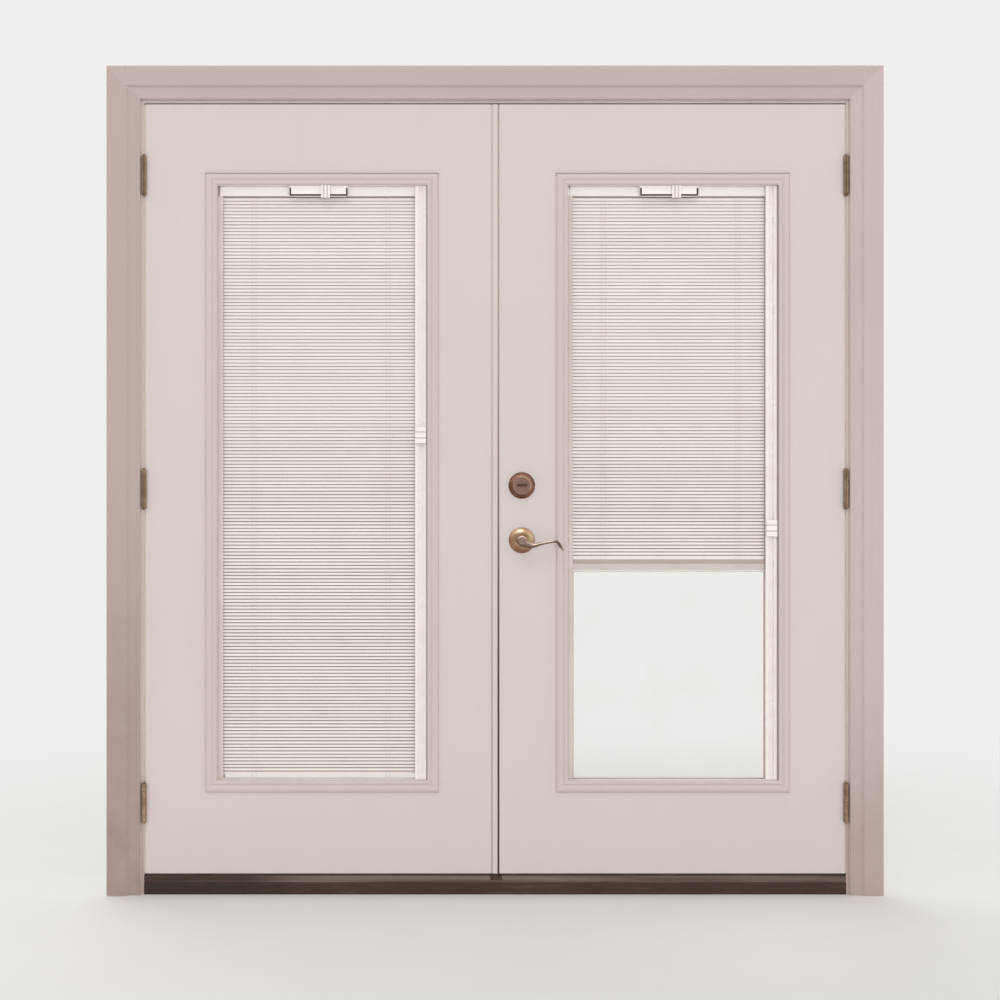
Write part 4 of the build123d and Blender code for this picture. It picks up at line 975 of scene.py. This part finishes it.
# Raise tracks and tilt housings: white plastic extrusions and mouldings bonded to the room-side pane,
# with ribbed grips that slide on them and drag magnets behind the glass.

def moulded(name, colour, shade):
    """Glossy moulded plastic with faint flow marks."""
    material, tree, shader = finish_of(name)
    place = spot_on(tree)
    flow = noise(place, 26.0, 4.0)
    fine = noise(place, 1500.0, 2.0)
    tone = mixed(spread(flow, 0.35, 0.75), colour, shade)
    coat(shader, tone, spread(flow, 0.2, 0.8, 0.25, 0.35), fine, depth=0.00003)
    return material


track_white = moulded("track white plastic", (248, 241, 239), (243, 235, 233))


def housing_finish(side):
    """White plastic for a tilt housing, with a brown band of painted shade round the slot of its slider."""
    material = moulded(side + " housing white plastic", (253, 247, 245), (249, 242, 240))
    tree = material.node_tree
    low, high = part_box(side + "_tilt_track")
    slot_middle = ((low.x + high.x) / 2, 0.0, low.z + 0.0032)
    slot_end, slot_rise, corner = 0.0748, 0.0168, 0.0036
    shade_width, soft = 0.0025, 0.0003
    away = parts_of(on_vector("SUBTRACT", spot_on(tree), slot_middle))
    past = larger(minus(unsigned(away[0]), slot_end - corner), 0.0)
    under = larger(minus(corner, away[2]), 0.0)
    reach = on_vector("LENGTH", vector_of({0: past, 2: under}))
    off_slot = unsigned(minus(reach, corner))
    below_end = spread(away[2], slot_rise + shade_width, slot_rise + shade_width - soft)
    # A brown band along the slot's lower edge and up its ends: painted shade.
    slot_shade = times(spread(off_slot, shade_width, shade_width - soft), below_end)
    lay_over(material, slot_shade, (98, 74, 66))
    return material


def grip_finish(node):
    """White plastic for a grip, with painted shade between its ribs and down its sides."""
    material = moulded(node + " white plastic", (250, 243, 241), (245, 237, 235))
    tree = material.node_tree
    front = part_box(node)[0].y
    depth = parts_of(spot_on(tree))[1]
    # Everything a little behind the grip's front is painted grey: painted shade in the ribs and on the
    # sides.
    rib_and_side_shade = spread(depth, front + 0.0004, front + 0.0011, 0.0, 0.85)
    lay_over(material, rib_and_side_shade, (208, 198, 194))
    return material


for side in ("left", "right"):
    eased(side + "_raise_track", 0.0002, side + "_leaf", track_white)
    eased(side + "_tilt_track", 0.0003, side + "_leaf", housing_finish(side))
    for kind in ("_raise", "_tilt"):
        slider = side + kind + "_slider"
        eased(slider, 0.0007, side + kind, grip_finish(slider))


# Strikes: thin plates of dulled brass, let in flush with the astragal, the head and the sill cap, with
# the flush bolts that run in the astragal, and the cases and bolts in the edge of the active leaf.

lock_steel = brassy("plated lock steel", (206, 196, 180), (176, 162, 144), (120, 104, 88), lumps=40.0)
# The rose brass has a high under share: painted light on top and painted shade beneath.
rose_gold = brassy(
    "rose brass with painted light", (234, 206, 168), (212, 174, 138), (146, 102, 82),
    lumps=30.0, foot=0.0235, crown=0.0315, under=0.85, spots=0.1,
)
strike_bronze = brassy("darkened strike bronze", (104, 84, 76), (86, 68, 62), (60, 46, 42), lumps=40.0)
eased("bolt_strikes", 0.0003, "frame", strike_bronze)
eased("astragal_strikes", 0.0003, "left_leaf", rose_gold)
for node, rounding, body in (
    ("astragal_top_bolt", 0.0004, "top_bolt"),
    ("astragal_bottom_bolt", 0.0004, "bottom_bolt"),
    ("latch_case", 0.0003, "right_leaf"),
    ("deadbolt_case", 0.0003, "right_leaf"),
    ("latch_bolt", 0.0005, "latch"),
    ("deadbolt", 0.0005, "lock_bolt"),
):
    eased(node, rounding, body, lock_steel)
keeper_low, keeper_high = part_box("astragal_strikes")
plate_half, plate_step = 0.0285, 0.0006
screw_rise, small_radius = 0.021, 0.0034
for label, middle in (("latch", keeper_low.z + plate_half), ("deadbolt", keeper_high.z - plate_half)):
    face_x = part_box(label + "_case")[0].x + plate_step
    for kind, x, facing, seed, brass_kind, slot, body in (
        ("_strike_screws", keeper_high.x, (1.0, 0.0, 0.0), 31, rose_gold, "lock_brass", "left_leaf"),
        ("_face_screws", face_x, (-1.0, 0.0, 0.05), 37, lock_steel, "lock_steel", "right_leaf"),
    ):
        points = [(x, 0.0, middle - screw_rise), (x, 0.0, middle + screw_rise)]
        drive_screws(label + kind, points, facing, small_radius, seed, brass_kind, body)


# Lever set: cast brass levers on turned hubs, swept to a thin neck and curled at the tip, through domed
# spun roses. Both are plated antique brass, brighter on the crown of the dome, with painted light on their
# tops and painted shade beneath.

# The lever brass has a high under share: painted light along the top of the arm and painted shade beneath.
lever_brass = brassy(
    "lever brass with painted light", (224, 204, 192), (200, 176, 162), (120, 92, 80),
    lumps=26.0, under=0.9, spots=0.1,
)
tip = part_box("inside_lever")[1].x
tree = lever_brass.node_tree
hook = spread(parts_of(spot_on(tree))[0], tip - 0.032, tip - 0.014, 0.0, 0.9)
lay_over(lever_brass, hook, (118, 100, 88))
eased("lever_roses", 0.0006, "right_leaf", rose_gold, 2, 40.0)
eased("inside_lever", 0.0, "levers", lever_brass, 2, 50.0)
eased("outside_lever", 0.0, "levers", lever_brass, 2, 50.0)
eased("lever_spindle", 0.0003, "levers", lock_steel)


# Deadbolt trim: a coned rose with a turned disc and thumb turn inside, and the key cylinder outside.
# Its antique brass is redder than the lever's, with a painted highlight round the top of the cone.

lock_low, lock_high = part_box("deadbolt_roses")
lock_middle = (lock_low + lock_high) / 2


def lock_trim(name, face, face_shade, dark, ring, foot, crown):
    """Reddish antique brass, with a painted highlight on a ring round the lock's axis, towards the upper
    right.
    """
    material = brassy(name, face, face_shade, dark, 45.0, foot, crown, 0.7, 0.2, depth=0.0)
    tree = material.node_tree
    away = on_vector("SUBTRACT", spot_on(tree), tuple(lock_middle))
    flat = on_vector("MULTIPLY", away, (1.0, 0.0, 1.0))
    off_ring = unsigned(minus(on_vector("LENGTH", flat), ring))
    parts = parts_of(flat)
    # A pale ring towards the upper right: a painted highlight.
    toward_light = spread(plus(parts[0], parts[2]), -0.004, 0.022)
    ring_highlight = times(spread(off_ring, 0.0004, 0.0022, 0.8, 0.0), toward_light)
    lay_over(material, ring_highlight, (214, 176, 152))
    return material


rose_brass = lock_trim(
    "deadbolt rose brass", (188, 146, 124), (160, 118, 98), (108, 74, 60),
    ring=0.0245, foot=0.024, crown=0.034,
)
# The thumb turn is near-black, pale only on the disc at its foot: painted shade on the level bar.
turn_brass = lock_trim(
    "thumb turn brass", (44, 26, 20), (36, 21, 16), (196, 158, 142),
    ring=0.0228, foot=0.0396, crown=0.0450,
)
eased("deadbolt_roses", 0.0006, "right_leaf", rose_brass, 2, 20.0)
eased("thumb_turn", 0.0008, "thumb", turn_brass, 2, 40.0)


# Studio: a plain pale floor that runs out into a pale surround, which lights the doors evenly, with one
# wide soft lamp in front of them, a small one overhead and a weak one behind.

surround = (240, 239, 237)
floor_finish, tree, shader = finish_of("pale floor")
place = spot_on(tree)
paths = add("ShaderNodeLightPath", {}, tree).outputs
seen = larger(paths["Is Camera Ray"], paths["Is Transmission Ray"])
pale = mixed(noise(place, 3.0, 3.0), (241, 240, 238), (237, 236, 234))
pale = mixed(seen, (236, 234, 232), pale)
feed(shader, {"Base Color": pale, "Roughness": 0.8, "Specular IOR Level": 0.1})
glow = out("ShaderNodeEmission", {"Color": surround, "Strength": seen})
far = times(spread(on_vector("LENGTH", place), 1.4, 3.6), seen)
melted = out("ShaderNodeMixShader", {0: far, 1: shader.outputs[0], 2: glow})
feed(tree.nodes["Material Output"], {"Surface": melted})
floor_mesh = bpy.data.meshes.new("floor")
reach = 60.0
corners = [(-reach, -reach, 0.0), (reach, -reach, 0.0), (reach, reach, 0.0), (-reach, reach, 0.0)]
floor_mesh.from_pydata(corners, [], [(0, 1, 2, 3)])
floor_mesh.materials.append(floor_finish)
floor = stand("floor", floor_mesh)

world = bpy.data.worlds.new("studio")
world.use_nodes = True
bpy.context.scene.world = world
tree = world.node_tree
facing = parts_of(spot_on(tree, "Generated"))
overhead = spread(facing[2], 0.15, 0.7, 0.0, 0.7)
beside = spread(unsigned(facing[0]), 0.35, 0.85, 0.0, 0.5)
mirrored = plus(plus(overhead, beside), 0.35)
paths = add("ShaderNodeLightPath", {}, tree).outputs
straight = larger(paths["Is Camera Ray"], paths["Is Transmission Ray"])
even = spread(straight, 0.0, 1.0, 0.85, 1.0)
off_metal = larger(minus(paths["Is Glossy Ray"], straight), 0.0)
strength = out("ShaderNodeMix", {0: off_metal, 2: even, 3: mirrored}, data_type="FLOAT")
feed(tree.nodes["Background"], {"Color": surround, "Strength": strength})


def wide_lamp(name, place, power, width, mirrored):
    """A far, wide lamp that shines on the doors from a place, evenly over all of them."""
    data = bpy.data.lights.new(name, "SUN")
    data.energy = power
    data.angle = math.radians(width)
    lamp = stand(name, data)
    lamp.location = place
    lamp.rotation_euler = (-Vector(place)).to_track_quat("-Z", "Y").to_euler()
    lamp.visible_transmission = False
    lamp.visible_glossy = mirrored


wide_lamp("lamp in front", (0.9, -4.2, 0.02), power=1.06, width=24.0, mirrored=False)
wide_lamp("lamp overhead", (-0.4, -3.0, 3.4), power=0.35, width=24.0, mirrored=True)
wide_lamp("lamp behind", (-2.5, 4.5, 3.4), power=0.7, width=60.0, mirrored=True)


# Camera: level, square to the leaves, a little right of their middle and at the height of the lever.

sensor = 36.0
view_width = 2.6425
stand_off = 4.2
right_of_middle = 0.0130
eye_height = 1.0425
camera_data = bpy.data.cameras.new("camera")
camera_data.sensor_width = sensor
camera_data.lens = sensor * stand_off / view_width
camera = stand("camera", camera_data)
leaf_face_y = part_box("right_slab")[0].y
camera.location = (right_of_middle, leaf_face_y - stand_off, eye_height)
camera.rotation_euler = (math.radians(90.0), 0.0, 0.0)
bpy.context.scene.camera = camera
bpy.context.scene.view_settings.view_transform = "Standard"
